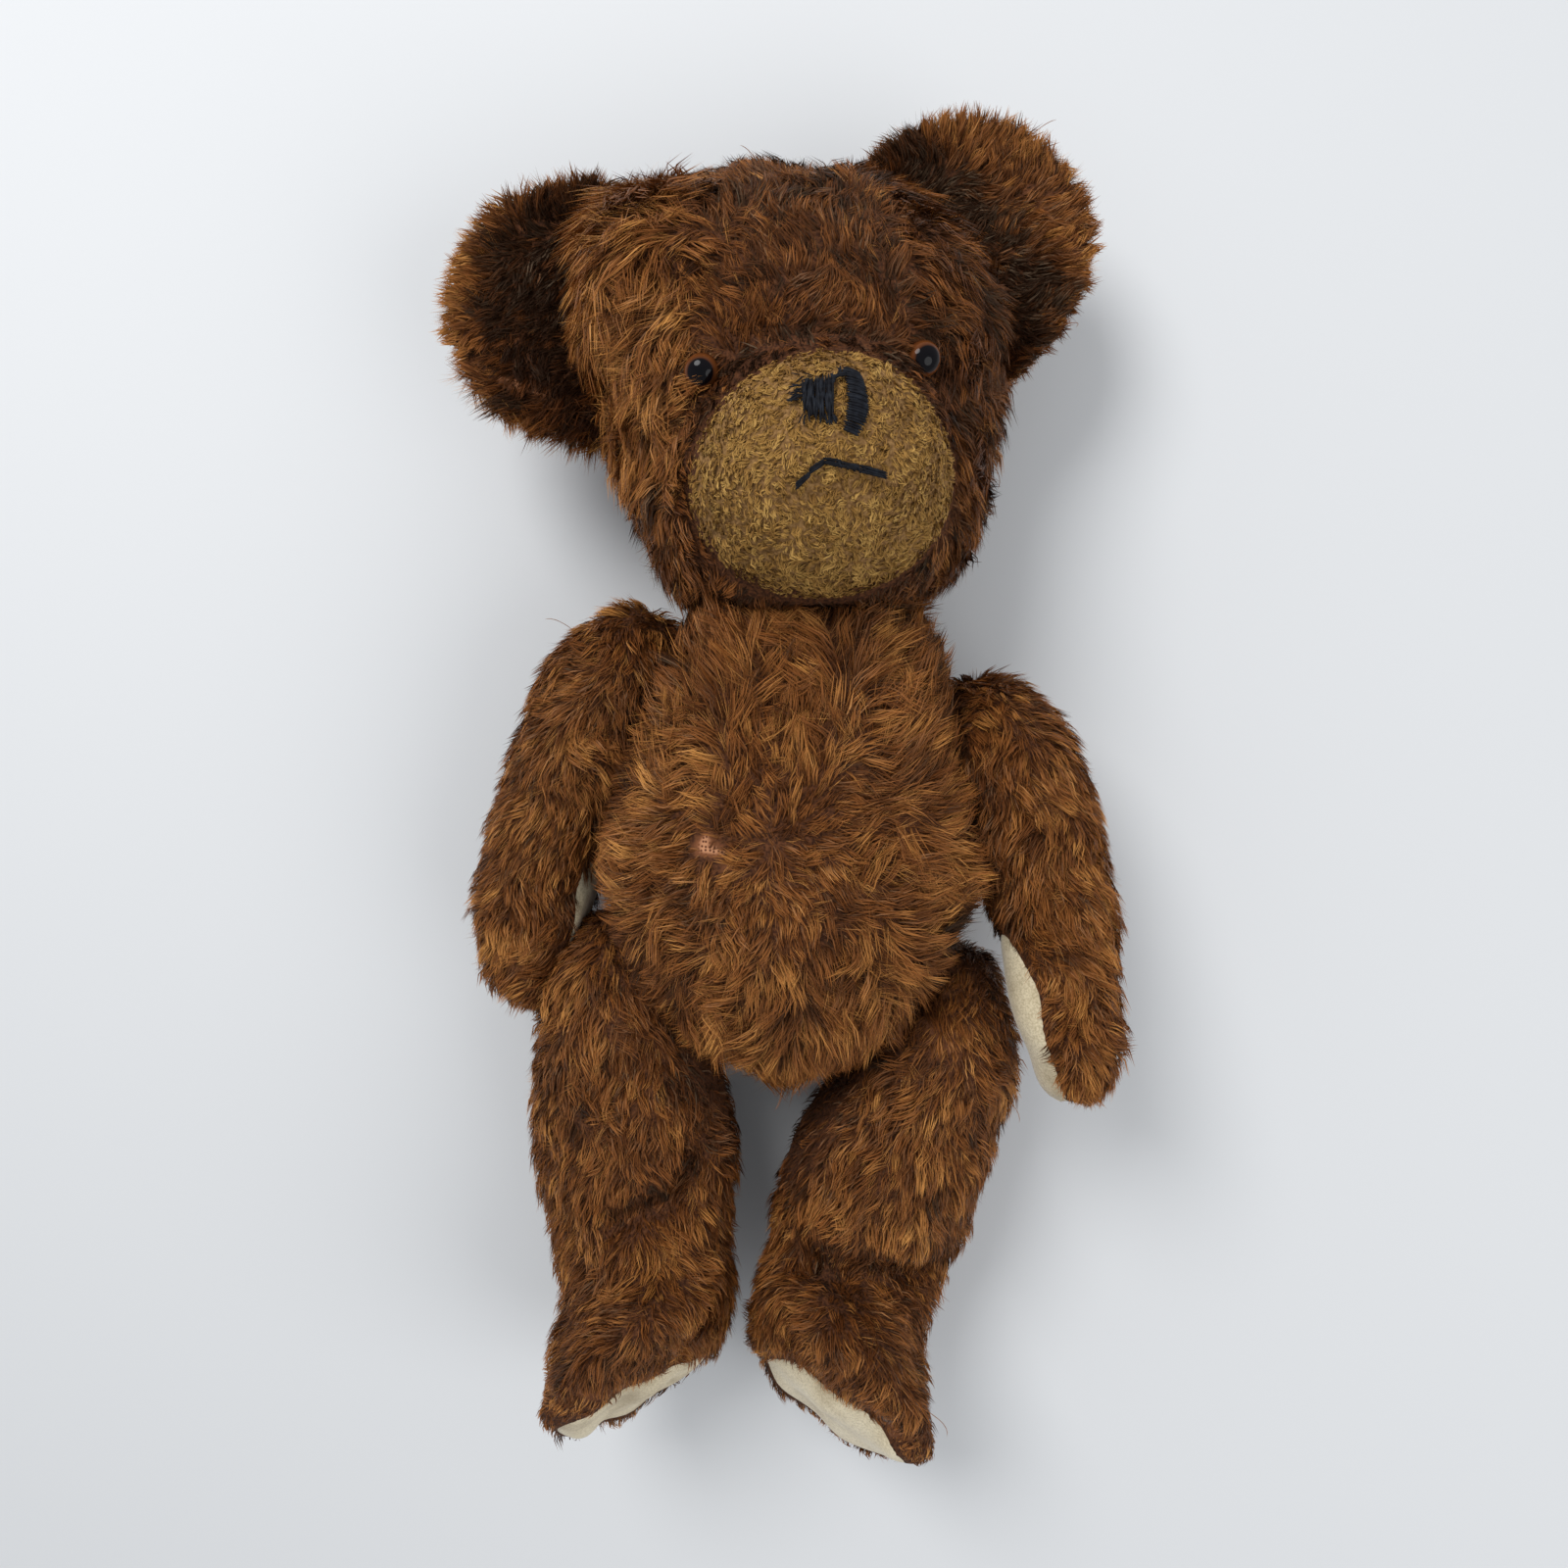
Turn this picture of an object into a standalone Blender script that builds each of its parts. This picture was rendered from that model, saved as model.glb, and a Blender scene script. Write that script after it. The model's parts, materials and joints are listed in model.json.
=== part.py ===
# Threadbare jointed teddy bear, lying on its back. Metres; +Y to the head, +Z up out of the chest.
import math

import bmesh
import bpy
import numpy as np
from mathutils import Vector
from mathutils.bvhtree import BVHTree

# Driving dimensions, skin to skin without the pile.
TORSO_LENGTH = 0.176
TORSO_WIDTH = 0.138
TORSO_DEPTH = 0.116
HEAD_WIDTH = 0.136
HEAD_HEIGHT = 0.148
HEAD_DEPTH = 0.120
MUZZLE_WIDTH = 0.086
MUZZLE_HEIGHT = 0.075
MUZZLE_RISE = 0.030
EAR_SPAN = 0.082
EAR_RISE = 0.056
EAR_THICKNESS = 0.009
ARM_LENGTH = 0.150
ARM_WIDTH = 0.041
ARM_DEPTH = 0.047
LEG_LENGTH = 0.176
LEG_WIDTH = 0.069
LEG_DEPTH = 0.066
FOOT_LENGTH = 0.084
EYE_DIAMETER = 0.011
SKIN_THICKNESS = 0.0015
CLEARANCE = 0.0004
ARM_DISC_DIAMETER = 0.022
LEG_DISC_DIAMETER = 0.024
NECK_DISC_DIAMETER = 0.034
DISC_THICKNESS = 0.003
WASHER_DIAMETER = 0.012
WASHER_THICKNESS = 0.001
PIN_DIAMETER = 0.0030
PIN_HOLE_DIAMETER = 0.0042
EAR_ROOT = 0.020
EYE_SHANK_DIAMETER = 0.0014
EYE_SHANK_LENGTH = 0.009
NOSE_WIDTH = 0.017
NOSE_HEIGHT = 0.015
NOSE_THICKNESS = 0.0016
NOSE_SLIT_WIDTH = 0.0034
NOSE_SLIT_HEIGHT = 0.0124
MOUTH_STROKE = 0.0018
MOUTH_THICKNESS = 0.0012

# Sizes that follow from the driving dimensions.
PAW_PAD_WIDTH = 0.60 * ARM_DEPTH
PAW_PAD_LENGTH = 0.40 * ARM_LENGTH
FOOT_PAD_WIDTH = 0.74 * LEG_WIDTH
FOOT_PAD_LENGTH = 0.83 * FOOT_LENGTH
FLOSS_LIFT = 3 * CLEARANCE
EYE_LIFT = 2 * CLEARANCE
PIN_EYE_RADIUS = 1.5 * PIN_DIAMETER
PIN_CURL_RADIUS = 1.35 * PIN_DIAMETER
PIN_LEG_RADIUS = 0.40 * PIN_DIAMETER

# Sections as shares of the driving dimensions: place along the body, centre, half width, half depth.
TORSO_SECTIONS = [
    (0.000, 0.00, 0.50, 0.00, 0.00),
    (0.012, 0.00, 0.50, 0.14, 0.15),
    (0.060, 0.00, 0.50, 0.42, 0.44),
    (0.150, 0.00, 0.50, 0.70, 0.72),
    (0.280, 0.00, 0.50, 0.92, 0.92),
    (0.420, 0.00, 0.50, 1.00, 1.00),
    (0.560, 0.00, 0.50, 0.97, 0.98),
    (0.700, 0.00, 0.50, 0.87, 0.90),
    (0.820, 0.00, 0.50, 0.76, 0.80),
    (0.920, 0.00, 0.50, 0.64, 0.68),
    (0.985, 0.00, 0.50, 0.48, 0.52),
    (1.010, 0.00, 0.50, 0.26, 0.30),
    (1.015, 0.00, 0.50, 0.00, 0.00),
]
HEAD_SECTIONS = [
    (-0.010, 0.00, 0.00, 0.00, 0.00),
    (0.000, 0.00, 0.00, 0.30, 0.30),
    (0.035, 0.00, 0.00, 0.54, 0.54),
    (0.110, 0.00, 0.00, 0.72, 0.72),
    (0.230, 0.00, 0.00, 0.85, 0.84),
    (0.380, 0.00, 0.00, 0.93, 0.94),
    (0.540, 0.00, 0.00, 1.00, 1.00),
    (0.690, 0.00, 0.00, 0.98, 0.98),
    (0.820, 0.00, 0.00, 0.84, 0.85),
    (0.915, 0.00, 0.00, 0.62, 0.63),
    (0.975, 0.00, 0.00, 0.34, 0.35),
    (1.000, 0.00, 0.00, 0.00, 0.00),
]
ARM_SECTIONS = [
    (-0.165, 0.00, 0.00, 0.00, 0.00),
    (-0.150, 0.00, 0.00, 0.42, 0.42),
    (-0.095, 0.00, 0.00, 0.80, 0.80),
    (0.000, 0.04, 0.00, 1.04, 1.00),
    (0.200, 0.13, 0.00, 1.08, 0.97),
    (0.400, 0.14, 0.02, 0.98, 0.90),
    (0.560, 0.10, 0.05, 0.87, 0.84),
    (0.690, 0.04, 0.09, 0.80, 0.82),
    (0.780, -0.02, 0.12, 0.63, 0.68),
    (0.825, -0.06, 0.14, 0.36, 0.42),
    (0.840, -0.07, 0.14, 0.00, 0.00),
]
LEG_SECTIONS = [
    (-0.160, 0.00, 0.00, 0.00, 0.00),
    (-0.148, 0.00, 0.00, 0.36, 0.36),
    (-0.095, 0.00, 0.00, 0.68, 0.70),
    (0.000, 0.01, 0.00, 0.87, 0.90),
    (0.170, 0.05, 0.00, 1.04, 0.98),
    (0.340, 0.08, 0.00, 1.14, 1.00),
    (0.500, 0.08, 0.02, 1.06, 0.94),
    (0.610, 0.04, 0.14, 0.95, 0.94),
]
# The foot carries the leg on, with its front offset and half depth as shares of the foot's length.
FOOT_SECTIONS = [
    (0.700, 0.00, 0.236, 0.93, 0.880),
    (0.765, 0.00, 0.299, 0.94, 0.943),
    (0.805, 0.00, 0.314, 0.82, 0.849),
    (0.825, 0.00, 0.314, 0.46, 0.487),
    (0.830, 0.00, 0.314, 0.00, 0.000),
]

# Where the bodies stand in the shared frame, as shares of the driving dimensions.
TORSO_BOTTOM = -0.5 * TORSO_LENGTH
NECK_POINT = Vector((0.002, 0.468 * TORSO_LENGTH, 0.50 * TORSO_DEPTH))
NECK_AXIS = Vector((-0.08, 1.0, 0.05)).normalized()
HEAD_UP = Vector((-0.135, 0.985, 0.03)).normalized()
HEAD_FRONT = Vector((0.10, 0.0, 0.995)).normalized()
SHOULDER_R_POINT = Vector((-0.372 * TORSO_WIDTH, 0.280 * TORSO_LENGTH, 0.50 * TORSO_DEPTH))
SHOULDER_L_POINT = Vector((0.405 * TORSO_WIDTH, 0.195 * TORSO_LENGTH, 0.50 * TORSO_DEPTH))
SHOULDER_R_AXIS = Vector((-0.960, 0.280, 0.0)).normalized()
SHOULDER_L_AXIS = Vector((0.965, 0.262, 0.0)).normalized()
HIP_R_POINT = Vector((-0.302 * TORSO_WIDTH, -0.310 * TORSO_LENGTH, 0.44 * TORSO_DEPTH))
HIP_L_POINT = Vector((0.292 * TORSO_WIDTH, -0.325 * TORSO_LENGTH, 0.44 * TORSO_DEPTH))
HIP_R_AXIS = Vector((-0.890, -0.430, -0.12)).normalized()
HIP_L_AXIS = Vector((0.890, -0.430, -0.12)).normalized()
ARM_R_DIRECTION = Vector((-0.325, -0.930, -0.15)).normalized()
ARM_L_DIRECTION = Vector((0.300, -0.930, 0.14)).normalized()
LEG_R_DIRECTION = Vector((0.190, -0.970, -0.03)).normalized()
LEG_L_DIRECTION = Vector((-0.300, -0.945, -0.03)).normalized()
FOOT_R_TURN = math.radians(25)
FOOT_L_TURN = math.radians(41)
# Slopes of the sole, across the foot and along it, which turn it towards the bear's front.
SOLE_TILT = math.tan(math.radians(43))
SOLE_LIFT = math.tan(math.radians(20))
MUZZLE_CENTRE = (0.01, -0.235)
MUZZLE_SPREAD = 1.15
EYE_SPOTS = {"right": (-0.248, 0.010), "left": (0.247, 0.010)}
NOSE_TOP = (0.018, -0.050)
MOUTH_PEAK = (0.005, -0.226)
MOUTH_PATH = [(-0.0085, -0.0062), (-0.0042, -0.0030), (0.0, 0.0), (0.0090, -0.0014), (0.0180, -0.0032)]
TORSO_DROP = 0.03 * TORSO_DEPTH
ARM_REACH = 0.35 * ARM_WIDTH
LEG_REACH = 0.29 * LEG_WIDTH

# Points round a ring and rings along each body.
RING_POINTS = 20
TORSO_RINGS = 19
HEAD_RINGS = 21
ARM_RINGS = 17
LEG_RINGS = 19
DISC_POINTS = 16
HOLE_POINTS = 8
OVAL_POINTS = 24
EAR_STEPS = 8
EAR_POINTS = 16
EYE_POINTS = 16

# Colour, roughness and metallic value of each material.
FINISHES = {
    "mohair": ((0.225, 0.085, 0.030), 0.85, 0.0),
    "muzzle_pile": ((0.330, 0.180, 0.060), 0.90, 0.0),
    "felt": ((0.700, 0.600, 0.430), 0.95, 0.0),
    "stuffing": ((0.620, 0.520, 0.340), 0.95, 0.0),
    "floss": ((0.015, 0.016, 0.020), 0.60, 0.0),
    "glass": ((0.080, 0.030, 0.010), 0.08, 0.0),
    "hardboard": ((0.260, 0.160, 0.090), 0.80, 0.0),
    "steel": ((0.450, 0.440, 0.420), 0.40, 1.0),
}
FINISH_WORDS = (
    ("stuffing", "stuffing"),
    ("muzzle_panel", "muzzle_pile"),
    ("stitching", "floss"),
    ("eye", "glass"),
    ("pad", "felt"),
    ("disc", "hardboard"),
    ("washer", "steel"),
    ("pin", "steel"),
)


def clean_scene():
    for item in list(bpy.data.objects):
        bpy.data.objects.remove(item)


def spline(rows, count):
    """Rows resampled through a Catmull-Rom curve over the chord length of the section profile."""
    rows = np.array(rows, float)
    steps = np.linalg.norm(np.diff(rows[:, [0, 3]] * [2.0, 1.0], axis=0), axis=1)
    place = np.concatenate([[0.0], np.cumsum(np.maximum(steps, 1e-4) ** 0.7)])
    wanted = np.linspace(0.0, place[-1], count)
    tangent = np.gradient(rows, place, axis=0)
    out = []
    for value in wanted:
        k = min(int(np.searchsorted(place, value, side="right")) - 1, len(place) - 2)
        span = place[k + 1] - place[k]
        u = (value - place[k]) / span
        a = (1 + 2 * u) * (1 - u) ** 2
        b = u * (1 - u) ** 2
        c = u * u * (3 - 2 * u)
        d = u * u * (u - 1)
        out.append(a * rows[k] + b * span * tangent[k] + c * rows[k + 1] + d * span * tangent[k + 1])
    return np.array(out)


def loft_arrays(rings, first, last):
    """Closed vertices and faces for rings between two pole points."""
    count, around = len(rings), len(rings[0])
    verts = [first] + [p for ring in rings for p in ring] + [last]
    faces = []
    for j in range(around):
        k = (j + 1) % around
        faces.append((0, 1 + k, 1 + j))
        end = 1 + (count - 1) * around
        faces.append((len(verts) - 1, end + j, end + k))
        for i in range(count - 1):
            a = 1 + i * around
            faces.append((a + j, a + k, a + around + k, a + around + j))
    return np.array(verts, float), faces


def volume(verts, faces):
    total = 0.0
    for face in faces:
        for i in range(1, len(face) - 1):
            total += np.dot(verts[face[0]], np.cross(verts[face[i]], verts[face[i + 1]]))
    return total / 6


def outward(verts, faces):
    if volume(verts, faces) < 0:
        faces = [tuple(reversed(face)) for face in faces]
    return faces


def point_normals(verts, faces):
    normals = np.zeros_like(verts)
    for face in faces:
        corners = verts[list(face)]
        area = np.zeros(3)
        for i in range(1, len(face) - 1):
            area += np.cross(corners[i] - corners[0], corners[i + 1] - corners[0])
        for index in face:
            normals[index] += area
    length = np.linalg.norm(normals, axis=1, keepdims=True)
    return normals / np.maximum(length, 1e-12)


def inset(verts, faces, amount):
    return verts - point_normals(verts, faces) * amount


def clamp(verts, point, normal, keep_below, gap):
    """Moves what passes the plane back onto it, half a gap short of the plane."""
    point = np.array(point)
    normal = np.array(normal)
    side = (verts - point) @ normal
    if keep_below:
        over = np.maximum(side + gap / 2, 0.0)
    else:
        over = np.minimum(side - gap / 2, 0.0)
    return verts - over[:, None] * normal[None, :]


def mesh_object(name, verts, faces):
    mesh = bpy.data.meshes.new(name)
    mesh.from_pydata([tuple(v) for v in verts], [], [tuple(f) for f in faces])
    mesh.update()
    item = bpy.data.objects.new(name, mesh)
    bpy.context.scene.collection.objects.link(item)
    return item


def boolean(item, tool, operation, keep_tool=False):
    """The modifier's result becomes the object's own mesh and the tool goes away."""
    modifier = item.modifiers.new("cut", "BOOLEAN")
    modifier.operation = operation
    modifier.solver = "EXACT"
    modifier.object = tool
    graph = bpy.context.evaluated_depsgraph_get()
    graph.update()
    made = bpy.data.meshes.new_from_object(item.evaluated_get(graph))
    item.modifiers.remove(modifier)
    old = item.data
    item.data = made
    bpy.data.meshes.remove(old)
    if not keep_tool:
        bpy.data.objects.remove(tool)
    tidy(item)


def tidy(item):
    work = bmesh.new()
    work.from_mesh(item.data)
    bmesh.ops.remove_doubles(work, verts=work.verts, dist=2e-6)
    bmesh.ops.dissolve_degenerate(work, dist=2e-6, edges=work.edges)
    bmesh.ops.triangulate(work, faces=work.faces)
    work.to_mesh(item.data)
    work.free()
    item.data.update()


def axes_for(direction, hint):
    w = Vector(direction).normalized()
    v = (Vector(hint) - w * w.dot(Vector(hint))).normalized()
    u = v.cross(w).normalized()
    return u, v, w


def cylinder(name, centre, direction, radius_u, radius_v, length, hint=(0, 0, 1), points=DISC_POINTS):
    """A closed elliptical cylinder around its centre."""
    u, v, w = axes_for(direction, hint)
    verts = []
    for end in (-0.5, 0.5):
        for k in range(points):
            t = 2 * math.pi * k / points
            offset = u * (radius_u * math.cos(t)) + v * (radius_v * math.sin(t)) + w * (length * end)
            verts.append(Vector(centre) + offset)
    faces = [tuple(range(points))]
    faces.append(tuple(range(2 * points - 1, points - 1, -1)))
    for k in range(points):
        n = (k + 1) % points
        faces.append((k, points + k, points + n, n))
    verts = np.array([tuple(p) for p in verts])
    return mesh_object(name, verts, outward(verts, faces))


def oval_body(sections, length, width, depth, place, count, turn=0.0, tilt=0.0, lift=0.0, bump=None):
    """Rings of an oval body: place maps (along, side, front) in metres to the shared frame.

    The far end turns about its axis by turn, and slopes by tilt across and by lift to the front.
    """
    rows = spline(sections, count)
    rings = []
    for row in rows[1:-1]:
        ring = []
        for k in range(RING_POINTS):
            t = 2 * math.pi * k / RING_POINTS
            side = row[1] * width + row[3] * width / 2 * math.cos(t)
            front = row[2] * depth + row[4] * depth / 2 * math.sin(t)
            c, s = math.cos(turn), math.sin(turn)
            along = row[0] * length
            share = min(max((row[0] - 0.45) / 0.35, 0.0), 1.0)
            along -= share * (tilt * side + lift * (front - row[2] * depth))
            ring.append(np.array(place(along, side * c + front * s, front * c - side * s)))
        rings.append(ring)
    poles = []
    for row in (rows[0], rows[-1]):
        side = row[1] * width
        front = row[2] * depth
        c, s = math.cos(turn), math.sin(turn)
        poles.append(np.array(place(row[0] * length, side * c + front * s, front * c - side * s)))
    verts, faces = loft_arrays(rings, poles[0], poles[1])
    if bump is not None:
        verts = bump(verts)
    return verts, outward(verts, faces)


def framed(origin, u, v, w):
    def place(along, side, front):
        return tuple(Vector(origin) + Vector(w) * along + Vector(u) * side + Vector(v) * front)

    return place


def shell_object(name, verts, faces, thickness):
    """Outer surface and reversed inner surface: a hollow that its holes open."""
    inner = inset(verts, faces, thickness)
    both = np.concatenate([verts, inner])
    shift = len(verts)
    reverse = [tuple(i + shift for i in reversed(face)) for face in faces]
    return mesh_object(name, both, list(faces) + reverse)


def make_torso():
    origin = (0, TORSO_BOTTOM, -TORSO_DROP)
    place = framed(origin, (1, 0, 0), (0, 0, 1), (0, 1, 0))
    verts, faces = oval_body(TORSO_SECTIONS, TORSO_LENGTH, TORSO_WIDTH, TORSO_DEPTH, place, TORSO_RINGS)
    planes = [
        (NECK_POINT, NECK_AXIS),
        (SHOULDER_R_POINT, SHOULDER_R_AXIS),
        (SHOULDER_L_POINT, SHOULDER_L_AXIS),
        (HIP_R_POINT, HIP_R_AXIS),
        (HIP_L_POINT, HIP_L_AXIS),
    ]
    for point, axis in planes:
        verts = clamp(verts, point, axis, True, CLEARANCE)
    verts[:, 2] = np.maximum(verts[:, 2], 0.0)
    return verts, faces


HEAD_BASE = NECK_POINT - HEAD_UP * (0.030 * HEAD_HEIGHT) + Vector((0.0, 0, 0.004))
HEAD_RIGHT = HEAD_UP.cross(HEAD_FRONT).normalized()
HEAD_FORWARD = HEAD_RIGHT.cross(HEAD_UP).normalized()


def head_point(side, up, front):
    middle = HEAD_BASE + HEAD_UP * (0.5 * HEAD_HEIGHT)
    return middle + HEAD_RIGHT * side + HEAD_UP * up + HEAD_FORWARD * front


def muzzle_bump(verts):
    """Raises the front of the head into the round muzzle."""
    middle = np.array(HEAD_BASE + HEAD_UP * (0.5 * HEAD_HEIGHT))
    right, up, front = (np.array(a) for a in (HEAD_RIGHT, HEAD_UP, HEAD_FORWARD))
    local = verts - middle
    side = local @ right / (MUZZLE_WIDTH / 2) - MUZZLE_CENTRE[0] * HEAD_WIDTH / (MUZZLE_WIDTH / 2)
    rise = local @ up / (MUZZLE_HEIGHT / 2) - MUZZLE_CENTRE[1] * HEAD_HEIGHT / (MUZZLE_HEIGHT / 2)
    ahead = local @ front > 0
    far = np.sqrt(side**2 + rise**2)
    share = np.cos(np.clip(far / MUZZLE_SPREAD, 0, 1) * math.pi / 2) ** 0.8
    share[far >= MUZZLE_SPREAD] = 0.0
    return verts + (share * ahead * MUZZLE_RISE)[:, None] * front[None, :]


def make_head():
    place = framed(HEAD_BASE, HEAD_RIGHT, HEAD_FORWARD, HEAD_UP)
    verts, faces = oval_body(
        HEAD_SECTIONS, HEAD_HEIGHT, HEAD_WIDTH, HEAD_DEPTH, place, HEAD_RINGS, bump=muzzle_bump
    )
    verts = clamp(verts, NECK_POINT, NECK_AXIS, False, CLEARANCE)
    verts[:, 2] = np.maximum(verts[:, 2], 0.0)
    return verts, faces


def make_arm(point, axis, direction):
    centre = Vector(point) + Vector(axis) * ARM_REACH
    u, v, w = axes_for(direction, (0, 0, 1))
    side = u if u.dot(Vector(axis)) > 0 else -u
    place = framed(centre, side, v, w)
    verts, faces = oval_body(ARM_SECTIONS, ARM_LENGTH, ARM_WIDTH, ARM_DEPTH, place, ARM_RINGS)
    verts = clamp(verts, point, axis, False, CLEARANCE)
    return verts, faces, (centre, side, v, w)


def make_leg(point, axis, direction, turn):
    centre = Vector(point) + Vector(axis) * LEG_REACH
    u, v, w = axes_for(direction, (0, 0, 1))
    side = u if u.dot(Vector(axis)) > 0 else -u
    place = framed(centre, side, v, w)
    scale = FOOT_LENGTH / LEG_DEPTH
    sections = list(LEG_SECTIONS)
    for along, middle, front, half_width, half_depth in FOOT_SECTIONS:
        sections.append((along, middle, front * scale, half_width, half_depth * scale))
    verts, faces = oval_body(
        sections, LEG_LENGTH, LEG_WIDTH, LEG_DEPTH, place, LEG_RINGS, turn, -SOLE_TILT, SOLE_LIFT
    )
    verts = clamp(verts, point, axis, False, CLEARANCE)
    verts[:, 2] = np.maximum(verts[:, 2], 0.0)
    return verts, faces, (centre, side, v, w)


def stuffing_object(name, verts, faces, coarse=True):
    """The filling just inside a skin; a round body takes every second point of its rings."""
    inner = inset(verts, faces, SKIN_THICKNESS + CLEARANCE)
    if not coarse:
        return mesh_object(name, inner, faces)
    count = (len(inner) - 2) // RING_POINTS
    rings = [inner[1 + i * RING_POINTS : 1 + (i + 1) * RING_POINTS : 2] for i in range(count)]
    verts, faces = loft_arrays(rings, inner[0], inner[-1])
    return mesh_object(name, verts, outward(verts, faces))


def hardware(name, point, axis, disc_diameter, body_side, limb_side):
    """Two discs, two washers and one cotter pin for a disc joint; returns the pockets for stuffing."""
    axis = Vector(axis)
    point = Vector(point)
    wall = CLEARANCE / 2 + SKIN_THICKNESS + CLEARANCE
    disc_mid = wall + DISC_THICKNESS / 2
    washer_mid = wall + DISC_THICKNESS + CLEARANCE + WASHER_THICKNESS / 2
    outer_end = wall + DISC_THICKNESS + WASHER_THICKNESS + 2 * CLEARANCE
    pieces = (
        ("disc", disc_mid, disc_diameter / 2, DISC_THICKNESS),
        ("washer", washer_mid, WASHER_DIAMETER / 2, WASHER_THICKNESS),
    )
    for side, sign in ((body_side, -1), (limb_side, 1)):
        for piece, middle, radius, thickness in pieces:
            ring = cylinder(
                f"{name}_{side}_{piece}", point + axis * (sign * middle), axis, radius, radius, thickness
            )
            bore(ring, point, axis, 4 * outer_end)
    pin(f"{name}_cotter_pin", point, axis, outer_end)
    return outer_end


def bore(item, point, axis, length):
    """The clearance hole for a joint's pin, centred on the joint."""
    radius = PIN_HOLE_DIAMETER / 2
    hole = cylinder("hole", point, axis, radius, radius, length, points=HOLE_POINTS)
    boolean(item, hole, "DIFFERENCE")


def pin(name, point, axis, outer_end):
    """A split pin: an eye in the limb, the shank through the joint and two legs curled in the body."""
    u, v, w = axes_for(axis, (0.3, 0.2, 1.0))
    radius = PIN_DIAMETER / 2
    base = point - w * (outer_end + radius)
    tip = point + w * (outer_end + 2 * radius)
    shank = tube_mesh(name, [base, tip], radius, v, 8)
    loop = []
    loop_points = 9
    for k in range(loop_points):
        t = -math.pi / 2 + 2 * math.pi * k / loop_points
        loop.append(tip + w * (PIN_EYE_RADIUS * (1 + math.sin(t))) + u * (PIN_EYE_RADIUS * math.cos(t)))
    ring = ring_mesh("ring", loop, PIN_LEG_RADIUS, v, 6)
    boolean(shank, ring, "UNION")
    curl_steps = 5
    for sign in (-1, 1):
        path = []
        for k in range(curl_steps + 1):
            t = math.pi * k / curl_steps
            along = radius * 0.6 - PIN_CURL_RADIUS * math.sin(t)
            across = PIN_LEG_RADIUS + PIN_CURL_RADIUS * (1 - math.cos(t))
            path.append(base + w * along + u * (sign * across))
        leg = tube_mesh("leg", path, PIN_LEG_RADIUS, v, 6)
        boolean(shank, leg, "UNION")


def tube_arrays(path, radius, normal, points, closed):
    rings = []
    count = len(path)
    for i, p in enumerate(path):
        if closed:
            ahead = Vector(path[(i + 1) % count]) - Vector(path[i - 1])
        else:
            ahead = Vector(path[min(i + 1, count - 1)]) - Vector(path[max(i - 1, 0)])
        w = ahead.normalized()
        v = (Vector(normal) - w * w.dot(Vector(normal))).normalized()
        u = v.cross(w)
        ring = []
        for k in range(points):
            t = 2 * math.pi * k / points
            ring.append(tuple(Vector(p) + u * (radius * math.cos(t)) + v * (radius * math.sin(t))))
        rings.append(ring)
    return rings


def tube_mesh(name, path, radius, normal, points):
    rings = tube_arrays(path, radius, normal, points, False)
    verts = np.array([p for ring in rings for p in ring])
    faces = [tuple(range(points)), tuple(range(len(verts) - 1, len(verts) - points - 1, -1))]
    for i in range(len(rings) - 1):
        for k in range(points):
            n = (k + 1) % points
            a = i * points
            faces.append((a + k, a + points + k, a + points + n, a + n))
    return mesh_object(name, verts, outward(verts, faces))


def ring_mesh(name, path, radius, normal, points):
    rings = tube_arrays(path, radius, normal, points, True)
    verts = np.array([p for ring in rings for p in ring])
    faces = []
    for i in range(len(rings)):
        for k in range(points):
            n = (k + 1) % points
            a = i * points
            b = ((i + 1) % len(rings)) * points
            faces.append((a + k, b + k, b + n, a + n))
    return mesh_object(name, verts, outward(verts, faces))


def pocket(item, point, axis, sign, disc_diameter, outer_end):
    """Room in a stuffing for the disc, the washer and the pin end on one side of a joint."""
    axis = Vector(axis) * sign
    wide = disc_diameter / 2 + CLEARANCE
    deep = outer_end + CLEARANCE
    pin_wide = 2 * PIN_CURL_RADIUS + 2 * PIN_LEG_RADIUS + 4 * CLEARANCE
    pin_deep = outer_end + PIN_DIAMETER + 2 * PIN_EYE_RADIUS + PIN_LEG_RADIUS + 2 * CLEARANCE
    for radius, reach in ((wide, deep), (pin_wide, pin_deep)):
        tool = cylinder("pocket", Vector(point) + axis * (reach / 2), axis, radius, radius, reach)
        boolean(item, tool, "DIFFERENCE")


def panel(name, skin, centre, direction, half_u, half_v, reach, hint):
    """Cuts an oval panel out of a skin and keeps it as its own piece with a seam gap around it."""
    piece = skin.copy()
    piece.data = skin.data.copy()
    piece.name = name
    bpy.context.scene.collection.objects.link(piece)
    gap = CLEARANCE
    inner = cylinder("inner", centre, direction, half_u - gap, half_v - gap, reach, hint, OVAL_POINTS)
    boolean(piece, inner, "INTERSECT")
    keep_largest(piece)
    outer = cylinder("outer", centre, direction, half_u, half_v, reach, hint, OVAL_POINTS)
    boolean(skin, outer, "DIFFERENCE")
    keep_largest(skin)


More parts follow.
